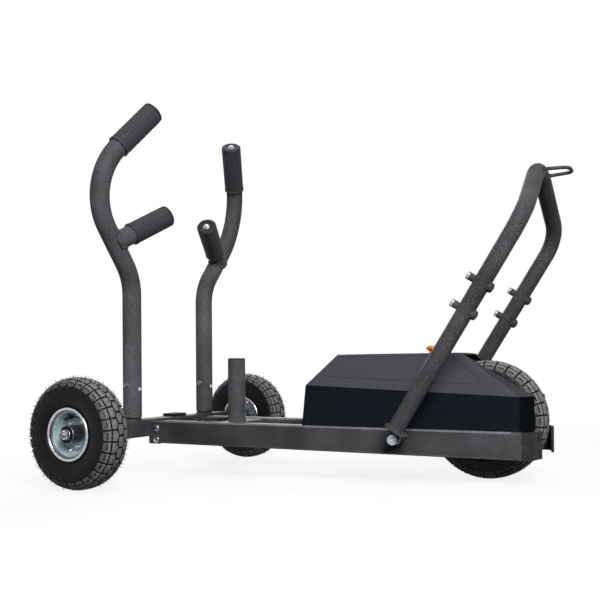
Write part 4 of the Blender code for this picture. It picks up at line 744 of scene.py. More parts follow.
def rim_finish(face):
    """The lip and the cone have finishes of their own; the step behind the lip and the web get painted shade.
    """
    radius = face.calc_center_median().xy.length
    return 2 if radius > 0.0587 else 3 if radius > 0.0549 else 0 if radius > 0.0455 else 5


def pressed_rim():
    bm = spun(rim_profile(), 96, closed=True)
    for i in range(BOLT_COUNT):
        slot_path = [clock(SLOT_CIRCLE, BOLT_ANGLE + 36 + 360 * i / BOLT_COUNT + a)
                     for a in (-7.2, -2.4, 2.4, 7.2)]
        tool = evaluated(as_mesh(swept(slot_path, 0.0036, 16)), "TRIANGULATE")
        bm = cut(bm, moved(tool, Matrix.Diagonal((1, 1, 3.0, 1))))
    return numbered(bm, rim_finish)


rim_bowls = pressed_rim()
print("rim:", len(rim_bowls.faces), "faces")

# %% [markdown]
# Nuts and heads are cones with six sides, and washers and threads are spun. A thread is a row of
# rings instead of a helix, which looks the same at this size and closes without a seam. Their
# measures are written in millimetres, as on a bolt's drawing.

# %% Nuts, washers and threads


def hexagon(half_flats, low, high, chamfer=0.7):
    """Hexagonal head or nut about Z, with softened edges."""
    radius, low, high, chamfer = mm((half_flats / math.cos(math.pi / 6), low, high, chamfer))[0]
    bm = bmesh.new()
    bmesh.ops.create_cone(bm, cap_ends=True, segments=6, radius1=radius, radius2=radius, depth=high - low)
    shifted(bm, 0, 0, (high + low) / 2)
    bmesh.ops.bevel(bm, geom=bm.edges[:], offset=chamfer, segments=2, profile=0.5,
                    affect="EDGES", material=-1)
    return bm


def threaded(radius, low, high, pitch=1.25):
    """Threaded end: rings of thread instead of a helix, which looks the same at this size."""
    profile = [(0, low), (radius - 0.6, low)]
    for i in range(max(1, int((high - low - 1) / pitch))):
        base = low + 0.2 + i * pitch
        profile += [(radius - 0.7, base), (radius, base + pitch * 0.5), (radius - 0.7, base + pitch)]
    profile += [(radius - 0.8, high - 0.6), (radius - 1.6, high), (0, high)]
    return spun(mm(*profile), 32)


def washer(inner, outer, low, high):
    edge = min(0.4, (high - low) / 3)
    return spun(mm((inner, low), (outer - edge, low), (outer, low + edge), (outer, high - edge),
                   (outer - edge, high),
                   (inner, high)), 48, closed=True)


def rim_bolts():
    made = []
    for i in range(BOLT_COUNT):
        fixing = gathered([washer(2, 5.6, 2.6, 3.4), hexagon(4.5, 3.4, 7.4, 0.4), threaded(2.9, 7, 9.6),
                           hexagon(4.5, -6.6, -2.6, 0.4)])
        made.append((shifted(fixing, *clock(BOLT_CIRCLE, BOLT_ANGLE + 360 * i / BOLT_COUNT)), 4))
    return made


def valve():
    """Rubber valve with its cap, on the web beside the bolts, leaning in towards the hub."""
    place = facing(clock(0.0450, -22, 0.002), (-0.12, -0.26, 1.0))
    stem = spun(mm((0, 0), (5.6, 0), (5.2, 4), (3.8, 7), (3.6, 16), (0, 16)), 24)
    cap = spun(mm((0, 15.5), (4.3, 15.5), (4.3, 22.5), (3.4, 24), (0, 24)), 24)
    return [(moved(stem, place), 1), (moved(cap, place), 1)]


rim_mesh = gathered([rim_bowls] + rim_bolts() + valve())
print("rim with its bolts:", len(rim_mesh.faces), "faces")

# %% [markdown]
# The hub is a steel tube with a flange behind the web. A rubber seal closes each end, around the
# axle. The front hub is longer on its left, where the belt pulley sits inside the cover. Reaches from
# the wheel's middle are in millimetres too.

# %% Hubs, seals and axle ends
REACH = {"rear_right": 40, "rear_left": 40, "front": 77}
WHEEL_Y = 0.39275
HUB_FACE = 0.0403
AXLE_Z = TYRE_R


def hub_shell(reach):
    return spun(mm((16.3, reach - 2), (20.5, reach - 2), (21.5, reach - 3), (21.5, -2.8), (43.6, -2.8),
                   (44, -3.2),
                   (44, -6.4), (43.6, -6.8), (21.5, -6.8), (21.5, -37), (20.5, -38),
                   (16.3, -38)), 64, closed=True)


def seal(height, side):
    """Rubber seal with a raised lip and a shallow dish, closed around the axle."""
    skin = ((8.3, -7.5), (8.3, -1.2), (11.2, -0.6), (12.8, 0), (14.2, -0.4), (15, -1.2), (17.8, -1.3),
            (19.2, -0.6),
            (20.4, -0.6), (21, -1.2), (21, -1.7), (16, -7.5))
    made = spun(mm(*[(r, height + h) for r, h in skin]), 64, closed=True)
    return made if side > 0 else moved(made, Matrix.Diagonal((1, 1, -1, 1)))


for label, (body, side) in WHEELS.items():
    place = on_wheel(label)
    finished(label + "_rim", moved(rim_mesh.copy(), place), RIM_FINISHES, body)
    # The hub's dull zinc is painted shade over its bright end.
    finished(label + "_hub", moved(hub_shell(REACH[label]), place), [DULL_AND_SHADED_ZINC], body)
    seals = gathered([seal(REACH[label], 1), seal(40, -1)])
    finished(label + "_bearings", moved(seals, place), [SEAL_AND_SHADOW_BLACK], body, label + "_seals")
rim_mesh.free()

def bar(radius, low, high, steps=24, bore=0):
    """Plain bar or sleeve about Z, in millimetres."""
    return spun(mm((bore, low), (radius, low), (radius, high), (bore, high)), steps, closed=bore > 0)


axle_end = WHEEL_Y + HUB_FACE + 0.017
ends = [moved(threaded(7.4, 390, axle_end * 1000), Matrix.Diagonal((1, 1, side, 1))) for _, side in SIDES]
finished("rear_axle", moved(gathered([bar(8, -390, 390, 40)] + ends), facing((0, 0, AXLE_Z), Y)),
         [DULL_AND_SHADED_ZINC])
for label, side in SIDES:
    nut = gathered([washer(8, 12.8, 0, 1.2), hexagon(11.2, 1.2, 8, 1)])
    seat = facing((0, side * (WHEEL_Y + HUB_FACE), AXLE_Z), Y * side)
    finished("rear_axle_nut_" + label, moved(nut, seat), [ZINC], name="rear_nut_" + label)
print("wheels:", sum(TALLY.values()), "triangles")

# %% [markdown]
# ## Frame
# ### Tube, plate and weld
# Rectangular tube and plate come from flat outlines. A curve fills each outline, gives it thickness
# and rounds its edges, and inner outlines become holes.

# %% Plates and box tubes


def arc(centre, radius, start, end, step=6):
    """Points of an arc between two angles in radians. The step is in degrees."""
    count = max(2, round(math.degrees(abs(end - start)) / step))
    return [(centre[0] + radius * math.cos(a), centre[1] + radius * math.sin(a))
            for a in np.linspace(start, end, count + 1)]


def rounded(width, height, corner, step=15):
    """Rectangle about the origin with round corners, as a list of X and Y."""
    w, h, c = width / 2, height / 2, corner
    centres = ((w - c, h - c, 0), (c - w, h - c, 90), (c - w, c - h, 180), (w - c, c - h, 270))
    return [(x + c * math.cos(math.radians(start + a)), y + c * math.sin(math.radians(start + a)))
            for x, y, start in centres for a in range(0, 91, step)]


def plate(outlines, thickness, edge=0.0008, segments=2):
    """Flat outline with its holes, centred on Z, with rounded edges."""
    return curved(outlines, True, dimensions="2D", fill_mode="BOTH", extrude=thickness / 2 - edge,
                  bevel_depth=edge, bevel_resolution=segments, offset=-edge)


def upright(centre, x_axis=X, y_axis=Z):
    """Matrix that lays a flat outline's X and Y along two directions."""
    axes = Matrix((x_axis, y_axis, x_axis.cross(y_axis))).transposed().to_4x4()
    return Matrix.Translation(centre) @ axes


print("plate test:", len(plate([rounded(0.04, 0.06, 0.006)], 0.006).verts), "points")

# %% [markdown]
# A weld bead is a thin bar along the joint, swelling and shrinking every couple of millimetres as the
# welder's hand moves. Where a round tube meets a flat face, the bead is a ring.

# %% Weld beads


def bead(path, radius=0.0022, loop=False, ripple=0.0020, seed=3):
    """Weld bead along a path, with ripples that differ a little from one another."""
    random.seed(seed)
    path = [Vector(p) for p in path] + ([Vector(path[0])] if loop else [])
    runs = np.concatenate([[0.0], np.cumsum([(b - a).length for a, b in zip(path, path[1:])])])
    count = max(6, int(runs[-1] / (ripple / 4)))
    count -= count % 4
    places, sizes = [], []
    for i in range(count if loop else count + 1):
        at = runs[-1] * i / count
        k = min(int(np.searchsorted(runs, at, side="right")) - 1, len(path) - 2)
        share = (at - runs[k]) / max(runs[k + 1] - runs[k], 1e-9)
        places.append(path[k].lerp(path[k + 1], float(share)))
        sizes.append((1.0, 1.09, 1.13, 1.05)[i % 4] * random.uniform(0.98, 1.03))
    return swept(places, radius, 12, sizes, loop)


def ring_bead(centre, axis, radius, thick, ripple=0.0020, seed=3):
    """Weld bead around a round joint."""
    turn = facing(centre, axis)
    ring = [turn @ Vector((radius * math.cos(a), radius * math.sin(a), 0))
            for a in np.linspace(0, 2 * math.pi, 60, endpoint=False)]
    return bead(ring, thick, True, ripple, seed)


print("weld test:", len(ring_bead((0, 0, 0), Z, 0.02, 0.002).faces), "faces")

# %% [markdown]
# ### Rear beam
# A 50 by 48 mm tube crosses the rear. Each end has a plate with the axle's boss. A channel on its
# front face takes each rail, and a short spigot on its top takes each handle. A black ring around the
# spigot's foot is the painted shadow of the gap there. The pad between the handles is as short as the
# photograph shows it. Parts that are bolted together are drawn 0.3 mm apart, as in the imported model.

# %% Rear beam
BEAM_X = -0.0155
BEAM_TOP = 0.160
BEAM_MIDDLE = BEAM_TOP - 0.024
BEAM_HALF = 0.3355
GAP = 0.0003
RAIL_Y = 0.112
RAIL_OUTER = 0.132
RAIL_INNER = 0.092
RAIL_LOW = 0.0945
RAIL_MIDDLE = RAIL_LOW + 0.031
RAIL_TOP = 0.1565
RAIL_START = 0.0467
RAIL_END = 1.0180
HANDLE_Y = 0.170
HANDLE_R = 0.0254
HANDLE_FOOT = 0.1668


def boss(bore, radius, low, high, chamfer, steps=48):
    """Short tube about Z, with a chamfer at its upper edge."""
    return spun([(bore, low), (radius, low), (radius, high - chamfer), (radius - chamfer, high),
                 (bore, high)], steps,
                closed=True)


def beam_channel(side):
    """Two flanges and a back plate, welded to the beam."""
    rear, front = BEAM_X + 0.025, RAIL_START - GAP
    low, high = RAIL_LOW - 0.0015, BEAM_TOP - 0.006
    corner = arc((rear + 0.008, low + 0.008), 0.008, math.pi, 1.5 * math.pi, 15)
    outline = corner + [(front, low), (front, high), (rear, high)]
    flanges = (RAIL_OUTER - 0.0031, RAIL_INNER + 0.0031)
    made = [moved(plate([outline], 0.0058), upright(Y * side * y)) for y in flanges]
    back = plate([rounded(0.0394, high - low - 0.001, 0.0008)], 0.006)
    made.append(moved(back, upright((rear + 0.003, side * RAIL_Y, (low + high) / 2), Y)))
    edge = [(rear + 0.0003, side * (RAIL_OUTER + 0.0002), z) for z in (BEAM_TOP - 0.044, high - 0.001)]
    top = [(rear + 0.0002, side * y, high + 0.0002) for y in (RAIL_INNER + 0.002, RAIL_OUTER - 0.002)]
    return made + [bead(edge, 0.0020), bead(top, 0.0018)]


def spigot(side):
    """Ring and tube under a handle, with a weld round the ring; the ring's black is a painted shadow."""
    ring = spun(mm((19, 159), (23, 159), (23, 166.2), (22.2, 166.5), (19, 166.5)), 64, closed=True)
    weld = ring_bead((BEAM_X, side * HANDLE_Y, BEAM_TOP + 0.0008), Z, 0.0232, 0.0019)
    tube = bar(22.1, 159, 286.8, 48, 18)
    # The ring takes the second finish, black, as the painted shadow of the gap under the handle.
    return [(shifted(ring, BEAM_X, side * HANDLE_Y, 0), 1), shifted(tube, BEAM_X, side * HANDLE_Y, 0), weld]


def beam():
    tube = plate([rounded(0.050, 0.048, 0.006), rounded(0.044, 0.042, 0.003)], 2 * BEAM_HALF, 0.0006)
    made = [moved(tube, upright((BEAM_X, 0, BEAM_MIDDLE)))]
    seat = WHEEL_Y - HUB_FACE
    for _, side in SIDES:
        end = plate([rounded(0.0455, 0.0435, 0.003)], 0.006, 0.0006)
        made.append(moved(end, upright((BEAM_X, side * (BEAM_HALF - 0.0035), BEAM_MIDDLE))))
        made.append(moved(boss(0.0083, 0.0140, BEAM_HALF - 0.002, seat, 0.0008),
                          facing((0, 0, AXLE_Z), Y * side)))
        made.append(ring_bead((0, side * (BEAM_HALF + 0.0003), AXLE_Z), Y, 0.0143, 0.0016))
        made += beam_channel(side) + spigot(side)
    return gathered(made)


def softened(bm, width, angle=30):
    """Round the edges that are sharper than an angle, as a press or a file leaves them."""
    return evaluated(as_mesh(bm), "BEVEL", width=width, segments=2, limit_method="ANGLE",
                     angle_limit=math.radians(angle), harden_normals=False)


# The beam wears the darker coat, painted shade, and black for the painted shadow at the spigots.
finished("rear_beam", beam(), [SHADED_COAT, SEAL_AND_SHADOW_BLACK])
pad = shifted(plate([rounded(0.042, 0.064, 0.006)], 0.0080, 0.0018, 4), BEAM_X, 0.0180, BEAM_TOP + 0.0043)
finished("beam_pad", softened(pad, 0.0002), [PAD_RUBBER])
print("rear beam:", TALLY["rear_beam_dressed"], "triangles")

# %% [markdown]
# ### Side rails
# Each rail is 40 by 62 mm tube. A bent plate with two slots closes its front end, and a solid tongue
# joins it to the beam's channel. A boss on its outer face carries the arch's foot bolt.

# %% Side rails
BEND_R = 0.028
BEND = math.radians(78)
FACE = 0.038
BENT_PLATE = 0.006
SLOTS = (0.1415, 0.1085)
PIVOT = Vector((0.7430, 0, 0.1338))


def front_bracket(side):
    """The bent plate, drawn in plan and extruded up, with its slots cut."""
    face = RAIL_OUTER - 0.0004
    start = RAIL_END - 0.020
    centre = (RAIL_END, BEND_R - face)
    last = BEND - math.pi / 2
    outer = arc(centre, BEND_R, -math.pi / 2, last)
    inner = arc(centre, BEND_R - BENT_PLATE, last, -math.pi / 2)
    along = Vector((math.cos(BEND), math.sin(BEND)))
    tips = [tuple(Vector(corner) + along * FACE) for corner in (outer[-1], inner[0])]
    outline = [(start, -face)] + outer + tips + inner + [(start, BENT_PLATE - face)]
    made = shifted(plate([[(x, -y * side) for x, y in outline]], 0.061, 0.0011, 3), 0, 0, RAIL_MIDDLE)
    middle_out = (Vector(outer[-1]) + Vector(tips[0])) / 2
    normal = Vector((along.y, side * along.x, 0))
    for z in SLOTS:
        tool = plate([rounded(0.0200, 0.0090, 0.00445, 18)], 0.04, 0.0004)
        made = cut(made, moved(tool, upright((middle_out.x, -middle_out.y * side, z), Z, normal.cross(Z))))
    # Faces of the bent plate that don't face sideways take the darker coat, painted shade.
    return numbered(made, lambda face: 2 if abs(face.normal.y) < 0.99 else 0)


def rail(side):
    tube = plate([rounded(0.040, 0.062, 0.006), rounded(0.034, 0.056, 0.003)], RAIL_END - RAIL_START, 0.0007)
    # Faces on the tube's rounded corners take the paler coat, a painted highlight.
    numbered(tube, lambda face: 1 if min(abs(face.normal.x), abs(face.normal.y)) > 0.3 else 0)
    place = ((RAIL_END + RAIL_START) / 2, side * RAIL_Y, RAIL_MIDDLE)
    rear, step, front = BEAM_X + 0.0313, RAIL_START + 0.001, RAIL_START + 0.03
    tongue = [(rear, -0.0137), (step, -0.0137), (step, -0.0165), (front, -0.0165),
              (front, 0.0165), (step, 0.0165), (step, 0.0137), (rear, 0.0137)]
    return gathered([moved(tube, upright(place, Y)), front_bracket(side),
                     shifted(plate([tongue], 0.052), 0, side * RAIL_Y, RAIL_MIDDLE),
                     moved(boss(0.0063, 0.0122, RAIL_OUTER - 0.001, 0.150, 0.001), facing(PIVOT, Y * side)),
                     ring_bead(PIVOT + Y * side * RAIL_OUTER, Y, 0.0124, 0.0015)])


for label, side in SIDES:
    finished("rail_" + label, rail(side), [SHADED_COAT, CORNER_HIGHLIGHT_COAT, SHADED_PLATE_COAT])
print("rail:", TALLY["rail_right_dressed"], "triangles")

# %% [markdown]
# ### Cross member and weight post
# The cross member is 60 by 40 mm tube between the rails. The post stands on it, welded all round,
# and a nylon cap closes it.

# %% Cross member and weight post
POST_X = 0.213
POST_TOP = 0.327


def crossmember():
    tube = plate([rounded(0.060, 0.040, 0.005), rounded(0.054, 0.034, 0.002)], 2 * (RAIL_INNER - GAP), 0.0006)
    welds = [bead([(POST_X + x, side * (RAIL_INNER - 0.0012), RAIL_TOP - 0.004)
                   for x in (-0.025, 0.025)], 0.0019)
             for _, side in SIDES]
    return gathered([moved(tube, upright((POST_X, 0, RAIL_TOP - 0.024)))] + welds)


def post():
    top, foot = POST_TOP - 0.004, RAIL_TOP - 0.0037
    return gathered([boss(0.0210, 0.0240, foot, top, 0.0006, 72),
                     ring_bead(Z * (foot + 0.0012), Z, 0.0244, 0.0020)])


cap = spun([(r, POST_TOP - below) for r, below in mm(
    (0, 12), (20.5, 12), (20.5, 3.7), (23.8, 3.7), (24, 3.4), (24, 1.8), (23.5, 0.6), (22.2, 0), (0, 0))])
finished("weight_crossmember", crossmember(), [CHARCOAL], name="crossmember_dressed")
finished("weight_post", shifted(post(), POST_X, 0, 0), [CHARCOAL], name="post_dressed")
finished("weight_post_cap", shifted(cap, POST_X, 0, 0), [CAP_PLASTIC],
         name="post_cap_dressed")
print("post:", TALLY["post_dressed"], "triangles")

# %% [markdown]
# ### Push handles
# Each handle is one 50.8 mm tube, bent out and then in again, with a shorter peg welded to it. The
# peg's weld runs around the saddle where two equal tubes meet, found point by point on the peg. A
# small pale button sits on the handle's front, just below its cross bolt.

# %% Push handles
KNEE = (BEAM_X, HANDLE_Y, 0.546)
ELBOW = (-0.0095, 0.3560, 0.773)
TOP = (0.0757, 0.1915, 0.9765)
PEG_ROOT = (-0.0085, 0.2415, 0.6340)
PEG_END = (0.0476, 0.0981, 0.7213)
CROSS_BOLT_Z = 0.254
BUTTON_Z = 0.2435


def mirrored(point, side):
    return Vector((point[0], point[1] * side, point[2]))


def handle_path(side):
    corners = [(BEAM_X, HANDLE_Y, CROSS_BOLT_Z + 0.05), KNEE, ELBOW, TOP]
    bent = filleted([mirrored(p, side) for p in corners], [0.130, 0.165], 3)
    return [mirrored((BEAM_X, HANDLE_Y, HANDLE_FOOT), side)] + bent


def saddle(root, along, start, axis, radius):
    """Where a bar of one radius, from root, leaves a bar of the same radius about an axis."""
    turn = facing((0, 0, 0), along).to_3x3()
    path = []
    for a in np.linspace(0, 2 * math.pi, 72, endpoint=False):
        spot = root + turn @ Vector((math.cos(a), math.sin(a), 0)) * radius
        off = (spot - start) - axis * (spot - start).dot(axis)
        slope = along - axis * along.dot(axis)
        a2, b2, c2 = slope.dot(slope), 2 * off.dot(slope), off.dot(off) - radius ** 2
        path.append(spot + along * ((-b2 + math.sqrt(max(b2 * b2 - 4 * a2 * c2, 0))) / (2 * a2)))
    return path


def push_handle(side):
    root, end, start = (mirrored(point, side) for point in (PEG_ROOT, PEG_END, KNEE))
    axis = (mirrored(ELBOW, side) - start).normalized()
    weld = saddle(root, (end - root).normalized(), start, axis, HANDLE_R + 0.0006)
    return gathered([swept(handle_path(side), HANDLE_R, 64), swept([root, end], HANDLE_R, 64),
                     bead(weld, 0.0027, loop=True, ripple=0.0030, seed=5)])


def cross_bolt(end, washer_r, seat, flats, top, nut_low, nut_high):
    """Bolt along Z: a shank of 7.8 mm, washer and head above zero, and a nut below."""
    return gathered([bar(3.9, end, 1), washer(3.5, washer_r, 0, seat),
                     hexagon(flats, seat, top, 0.6), hexagon(6.5, nut_low, nut_high, 0.6)])


for label, side in SIDES:
    finished("push_handle_" + label, push_handle(side), [CHARCOAL])
    bolt = cross_bolt(-59.4, 7.8, 1.2, 6, 5, -57.4, -51.4)
    seat = facing((BEAM_X, side * HANDLE_Y - HANDLE_R - GAP, CROSS_BOLT_Z), -Y)
    finished("handle_bolt_" + label, moved(bolt, seat), [DULL_AND_SHADED_ZINC])
    button = spun(mm((0, -1), (5.4, -1), (5.4, 0.6), (4.7, 1.7), (2.8, 2.5), (0, 2.7)), 32)
    seat = facing((BEAM_X + HANDLE_R - 0.0001, side * HANDLE_Y, BUTTON_Z), X)
    finished(None, moved(button, seat), [WHITE_DOT], name="handle_button_" + label)
print("handle:", TALLY["push_handle_right_dressed"], "triangles")

# %% [markdown]
# ### Grips
# A grip is a rubber sleeve with ribs that zigzag around it. The sleeve is spun with fine rings, and
# then each point of its skin is pushed out where a rib passes. The points of the zigzag leave a
# dotted line along the sleeve, as the mould's parts do.

# %% Grips
SLEEVE_R = 0.0280
RIB = 0.0013
RIB_PITCH = 0.0095
CHEVRONS = 6
CHEVRON_DEPTH = 0.0085
RING_STEP = 0.0007


def clamped(value):
    return min(1.0, max(0.0, value))


def rib_height(angle, along):
    """Height of the skin over the sleeve at an angle and a distance from the tip."""
    turn = (angle / (2 * math.pi) * CHEVRONS) % 1.0
    fold = abs(2 * turn - 1)
    phase = ((along + CHEVRON_DEPTH * fold) / RIB_PITCH) % 1.0
    crest = clamped((0.5 + 0.5 * math.cos(2 * math.pi * phase) - 0.30) / 0.34)
    ridge = min(fold, 1 - fold) * math.pi * SLEEVE_R / CHEVRONS
    return RIB * crest * crest * (3 - 2 * crest) * (0.35 + 0.65 * clamped((ridge - 0.0007) / 0.0010))


def sleeve(length):
    skin = [(SLEEVE_R, -0.0015 - i * RING_STEP) for i in range(int((length - 0.010) / RING_STEP))]
    end = skin[-1][1]
    profile = [(0.0257, -0.0003), (SLEEVE_R - 0.0005, -0.0003)] + skin
    profile += [(SLEEVE_R, end - 0.001), (SLEEVE_R + 0.0020, end - 0.0026),
                (SLEEVE_R + 0.0022, -length + 0.0016),
                (SLEEVE_R + 0.0014, -length + 0.0002), (0.0257, -length + 0.0002)]
    bm = spun(profile, 144, closed=True)
    for vert in bm.verts:
        radius = math.hypot(vert.co.x, vert.co.y)
        if abs(radius - SLEEVE_R) < 0.00003 and end + 0.0005 < vert.co.z < -0.0012:
            grow = 1 + rib_height(math.atan2(vert.co.y, vert.co.x), -vert.co.z) / radius
            vert.co.x *= grow
            vert.co.y *= grow
    return bm


def grip_cap():
    """Cap over the sleeve's end, dished around its bolt."""
    skin = mm((0, -12), (22.2, -12), (22.2, 0.3), (28.6, 0.3), (29, 0.8), (29, 3.2), (28.4, 4.1), (27.2, 5),
              (25.8, 5.8), (24, 6), (13.5, 5.7), (12, 5), (11.4, 4), (0, 4))
    return gathered([(spun(skin, 72), 0), (washer(2, 9.8, 4, 5), 1), (hexagon(6, 5, 10, 0.9), 1)])


for kind, start, end, length in (("upper_grip", ELBOW, TOP, 0.142), ("peg_grip", PEG_ROOT, PEG_END, 0.125)):
    for label, side in SIDES:
        tip_point = mirrored(end, side)
        seat = facing(tip_point, tip_point - mirrored(start, side))
        finished(f"{kind}_{label}", moved(sleeve(length), seat), [GRIP_RUBBER], angle=50)
        finished(f"{kind}_cap_{label}", moved(grip_cap(), seat), [CAP_PLASTIC, ZINC])
print("grip:", TALLY["upper_grip_right_dressed"], "triangles")

# %% [markdown]
# ### Front arch
# The arch is one 38 mm tube on two foot plates. A lug under each plate swings on the foot bolt. The
# legs carry four through bolts, with a painted collar and a zinc nut behind and a round boss in
# front. A bent rod at the crown is the tow eye. It narrows a little to its tip.

# %% Front arch
ARCH_R = 0.019
ARCH_Y = 0.1918
ARCH_FOOT = Vector((0.7570, 0, 0.1606))
ARCH_BEND = Vector((1.0421, 0, 0.6198))
ARCH_APEX = Vector((1.0351, 0, 0.7642))
CROWN_BEND = 0.085
LEG = (ARCH_BEND - ARCH_FOOT).normalized()
BACK = Vector((-LEG.z, 0, LEG.x))
LUG_Y = 0.1705
LUG_R = 0.0120
LUG_THICK = 0.0075
EYE_HALF = 0.040
EYE_TIP_HALF = 0.026
EYE_REACH = 0.0508


def arch_path():
    out = Y * ARCH_Y
    corners = [ARCH_FOOT - out, ARCH_BEND - out, ARCH_APEX, ARCH_BEND + out, ARCH_FOOT + out]
    return filleted(corners, [0.090, CROWN_BEND, 0.090], 3)


def foot_plate(side):
    inner, outer = LUG_Y - 0.0005, ARCH_Y + 0.022
    centre = ARCH_FOOT - LEG * 0.003 - BACK * 0.003 + Y * side * (inner + outer) / 2
    foot = moved(plate([rounded(outer - inner, 0.054, 0.012)], 0.006, 0.0012, 3), upright(centre, Y, BACK))
    angle = math.atan2(LEG.z, LEG.x)
    reach = (ARCH_FOOT - PIVOT).dot(LEG) - 0.0045
    end = arc((0, 0), LUG_R, angle + math.pi / 2, angle + 1.5 * math.pi, 12)
    top = [(LEG.x * reach + BACK.x * k, LEG.z * reach + BACK.z * k) for k in (-LUG_R, LUG_R)]
    hole = arc((0, 0), 0.0063, 0, 2 * math.pi, 18)[:-1]
    lug = moved(plate([end + top, hole], LUG_THICK), upright(PIVOT + Y * side * (LUG_Y + LUG_THICK / 2)))
    joint = ARCH_FOOT + LEG * 0.0008 + Y * side * ARCH_Y
    return [foot, lug, ring_bead(joint, LEG, ARCH_R + 0.0006, 0.0025, 0.0028, 8)]


def crown():
    """Middle of the tube at the crown."""
    low = Vector((ARCH_BEND.x - ARCH_APEX.x, -ARCH_Y, ARCH_BEND.z - ARCH_APEX.z)).normalized()
    half = low.angle(Vector((low.x, -low.y, low.z))) / 2
    return ARCH_APEX + Vector((low.x, 0, low.z)).normalized() * (CROWN_BEND / math.sin(half) - CROWN_BEND)


def tow_eye():
    centre = crown() - Vector((0, 0, 0.002))
    tip_x = crown().x + ARCH_R + EYE_REACH
    corners = [(centre.x, -EYE_HALF, centre.z), (tip_x, -EYE_TIP_HALF, centre.z),
               (tip_x, EYE_TIP_HALF, centre.z),
               (centre.x, EYE_HALF, centre.z)]
    made = [swept(filleted(corners, 0.018, 6), 0.004, 24)]
    lean = -20 * (CROWN_BEND - math.sqrt(CROWN_BEND ** 2 - EYE_HALF ** 2))
    for y in (-EYE_HALF, EYE_HALF):
        made.append(ring_bead(Vector((centre.x + 0.0178, y, centre.z)), (1, 0, lean), 0.0046, 0.0016, 0.0022))
    return gathered(made)


def arch_bolt():
    """Along +Z from the tube's axis: collar and nut. Along -Z: the front boss."""
    collar = spun(mm((0, 15.5), (8.6, 15.5), (8.6, 28.3), (8, 29), (0, 29)), 40)
    front = spun(mm((0, -27.3), (6, -27.2), (8.8, -26.2), (10.6, -24.3), (11.4, -21.5), (11.5, -15),
                    (0, -15)), 48)
    nut = gathered([washer(4, 9.2, 29.1, 30.4), hexagon(8, 30.4, 37.2, 0.9), threaded(4.9, 36, 38.5)])
    return gathered([(collar, 0), (front, 0), (nut, 1)])


arch = gathered([swept(arch_path(), ARCH_R, 56)] + foot_plate(-1) + foot_plate(1))
# The arch, its tow eye and bolt collars wear the darker copy of the coat, painted shade.
finished("front_arch", arch, [SHADED_COAT], "arch")
finished("tow_loop", tow_eye(), [SHADED_COAT], "arch")
for label, side in SIDES:
    for level, height in (("upper", 0.4764), ("lower", 0.4195)):
        spot = ARCH_FOOT + LEG * ((height - ARCH_FOOT.z) / LEG.z) + Y * side * ARCH_Y
        bolt = moved(arch_bolt(), facing(spot, BACK))
        finished(f"arch_bolt_{label}_{level}", bolt, [SHADED_COAT, ZINC], "arch")
print("arch:", TALLY["front_arch_dressed"], "triangles")

# %% [markdown]
# ### Bolts at the rails
# Each foot bolt of the arch has a nut on both sides of the lug. Two bolts through each bracket hold
# the rail's tongue. The foot bolt is measured outwards from the sled's middle plane.

# %% Bolts at the rails
BRACKET_BOLT_X = 0.036
BRACKET_BOLTS = (("upper", 0.1355), ("lower", 0.1040))


def pivot_bolt():
    return gathered([
        bar(5.9, 90.5, 188, 32), threaded(5.9, 188, 192.5),
        spun(mm((0, 87.2), (6, 87.2), (8.8, 88), (10.4, 90), (10.5, 91.7), (0, 91.7)), 48),
        hexagon(9, 150.4, 156, 1), washer(5.5, 11.6, 156.1, 158), bar(7.8, 158.1, 170.1, 32, 5.5),
        washer(5.5, 11.7, 178.3, 180.3), hexagon(9, 180.3, 188.6, 1)])


for label, side in SIDES:
    finished("pivot_bolt_" + label, moved(pivot_bolt(), facing(PIVOT, Y * side)), [ZINC])
    for level, z in BRACKET_BOLTS:
        bolt = cross_bolt(-50, 8.4, 1.3, 6.5, 5.4, -46.9, -40.6)
        seat = facing((BRACKET_BOLT_X, side * (RAIL_OUTER + GAP), z), Y * side)
        finished(f"bracket_bolt_{label}_{level}", moved(bolt, seat), [ZINC])
print("pivot bolt:", TALLY["pivot_bolt_right_dressed"], "triangles")

# %% [markdown]
# ## Cover
# Both mouldings start as a solid between two plan outlines. Their corners are rounded, a smaller
# solid hollows them, and a block cuts the slot for the front wheel. A fine groove on each side of the
# hood outlines a recessed panel, as the mould does. Faces that look forward get darker finishes, which
# paint shade on them.

# %% Cover outlines
COVER_HALF = 0.125
COVER_NOSE_HALF = 0.040
COVER_WALL = 0.003
SLOT_HALF = 0.062
SLOT_REAR = 0.872
KNOB_X = 0.782
SEAM_HIGH = 0.27


def outline_ring(rear, shoulder, nose, half, rear_z, front_z):
    near = [(rear, -half, rear_z), (shoulder, -half, front_z), (nose, -COVER_NOSE_HALF, front_z)]
    return near + [(x, -y, z) for x, y, z in reversed(near)]


def drawn(low, high):
    """Solid between two outlines with as many corners, drawn up from the lower one."""
    bm, lifted = raised(low)
    for vert in lifted:
        k = min(range(len(low)), key=lambda i: (Vector(low[i]) - vert.co).length)
        vert.co = Vector(high[k])
    bmesh.ops.recalc_face_normals(bm, faces=bm.faces)
    return bm


def rounded_edges(bm, chosen, width, segments):
    edges = [e for e in bm.edges if chosen(*(v.co for v in e.verts))]
    bmesh.ops.bevel(bm, geom=edges, offset=width, segments=segments, profile=0.5, affect="EDGES", material=-1,
                    clamp_overlap=True)
    return bm


def hollowed(outer, inner):
    """A moulding without its inside and without the front wheel's slot."""
    slot = shifted(plate([rounded(0.30, 2 * SLOT_HALF, 0.010)], 0.40, 0.0002), SLOT_REAR + 0.15, 0, 0.232)
    return cut(cut(outer, inner), slot)


def faced(bm):
    """The softened moulding, with its forward faces in the second finish, which is painted shade."""
    return numbered(bm, lambda face: 1 if face.normal.x > 0.40 else 0)


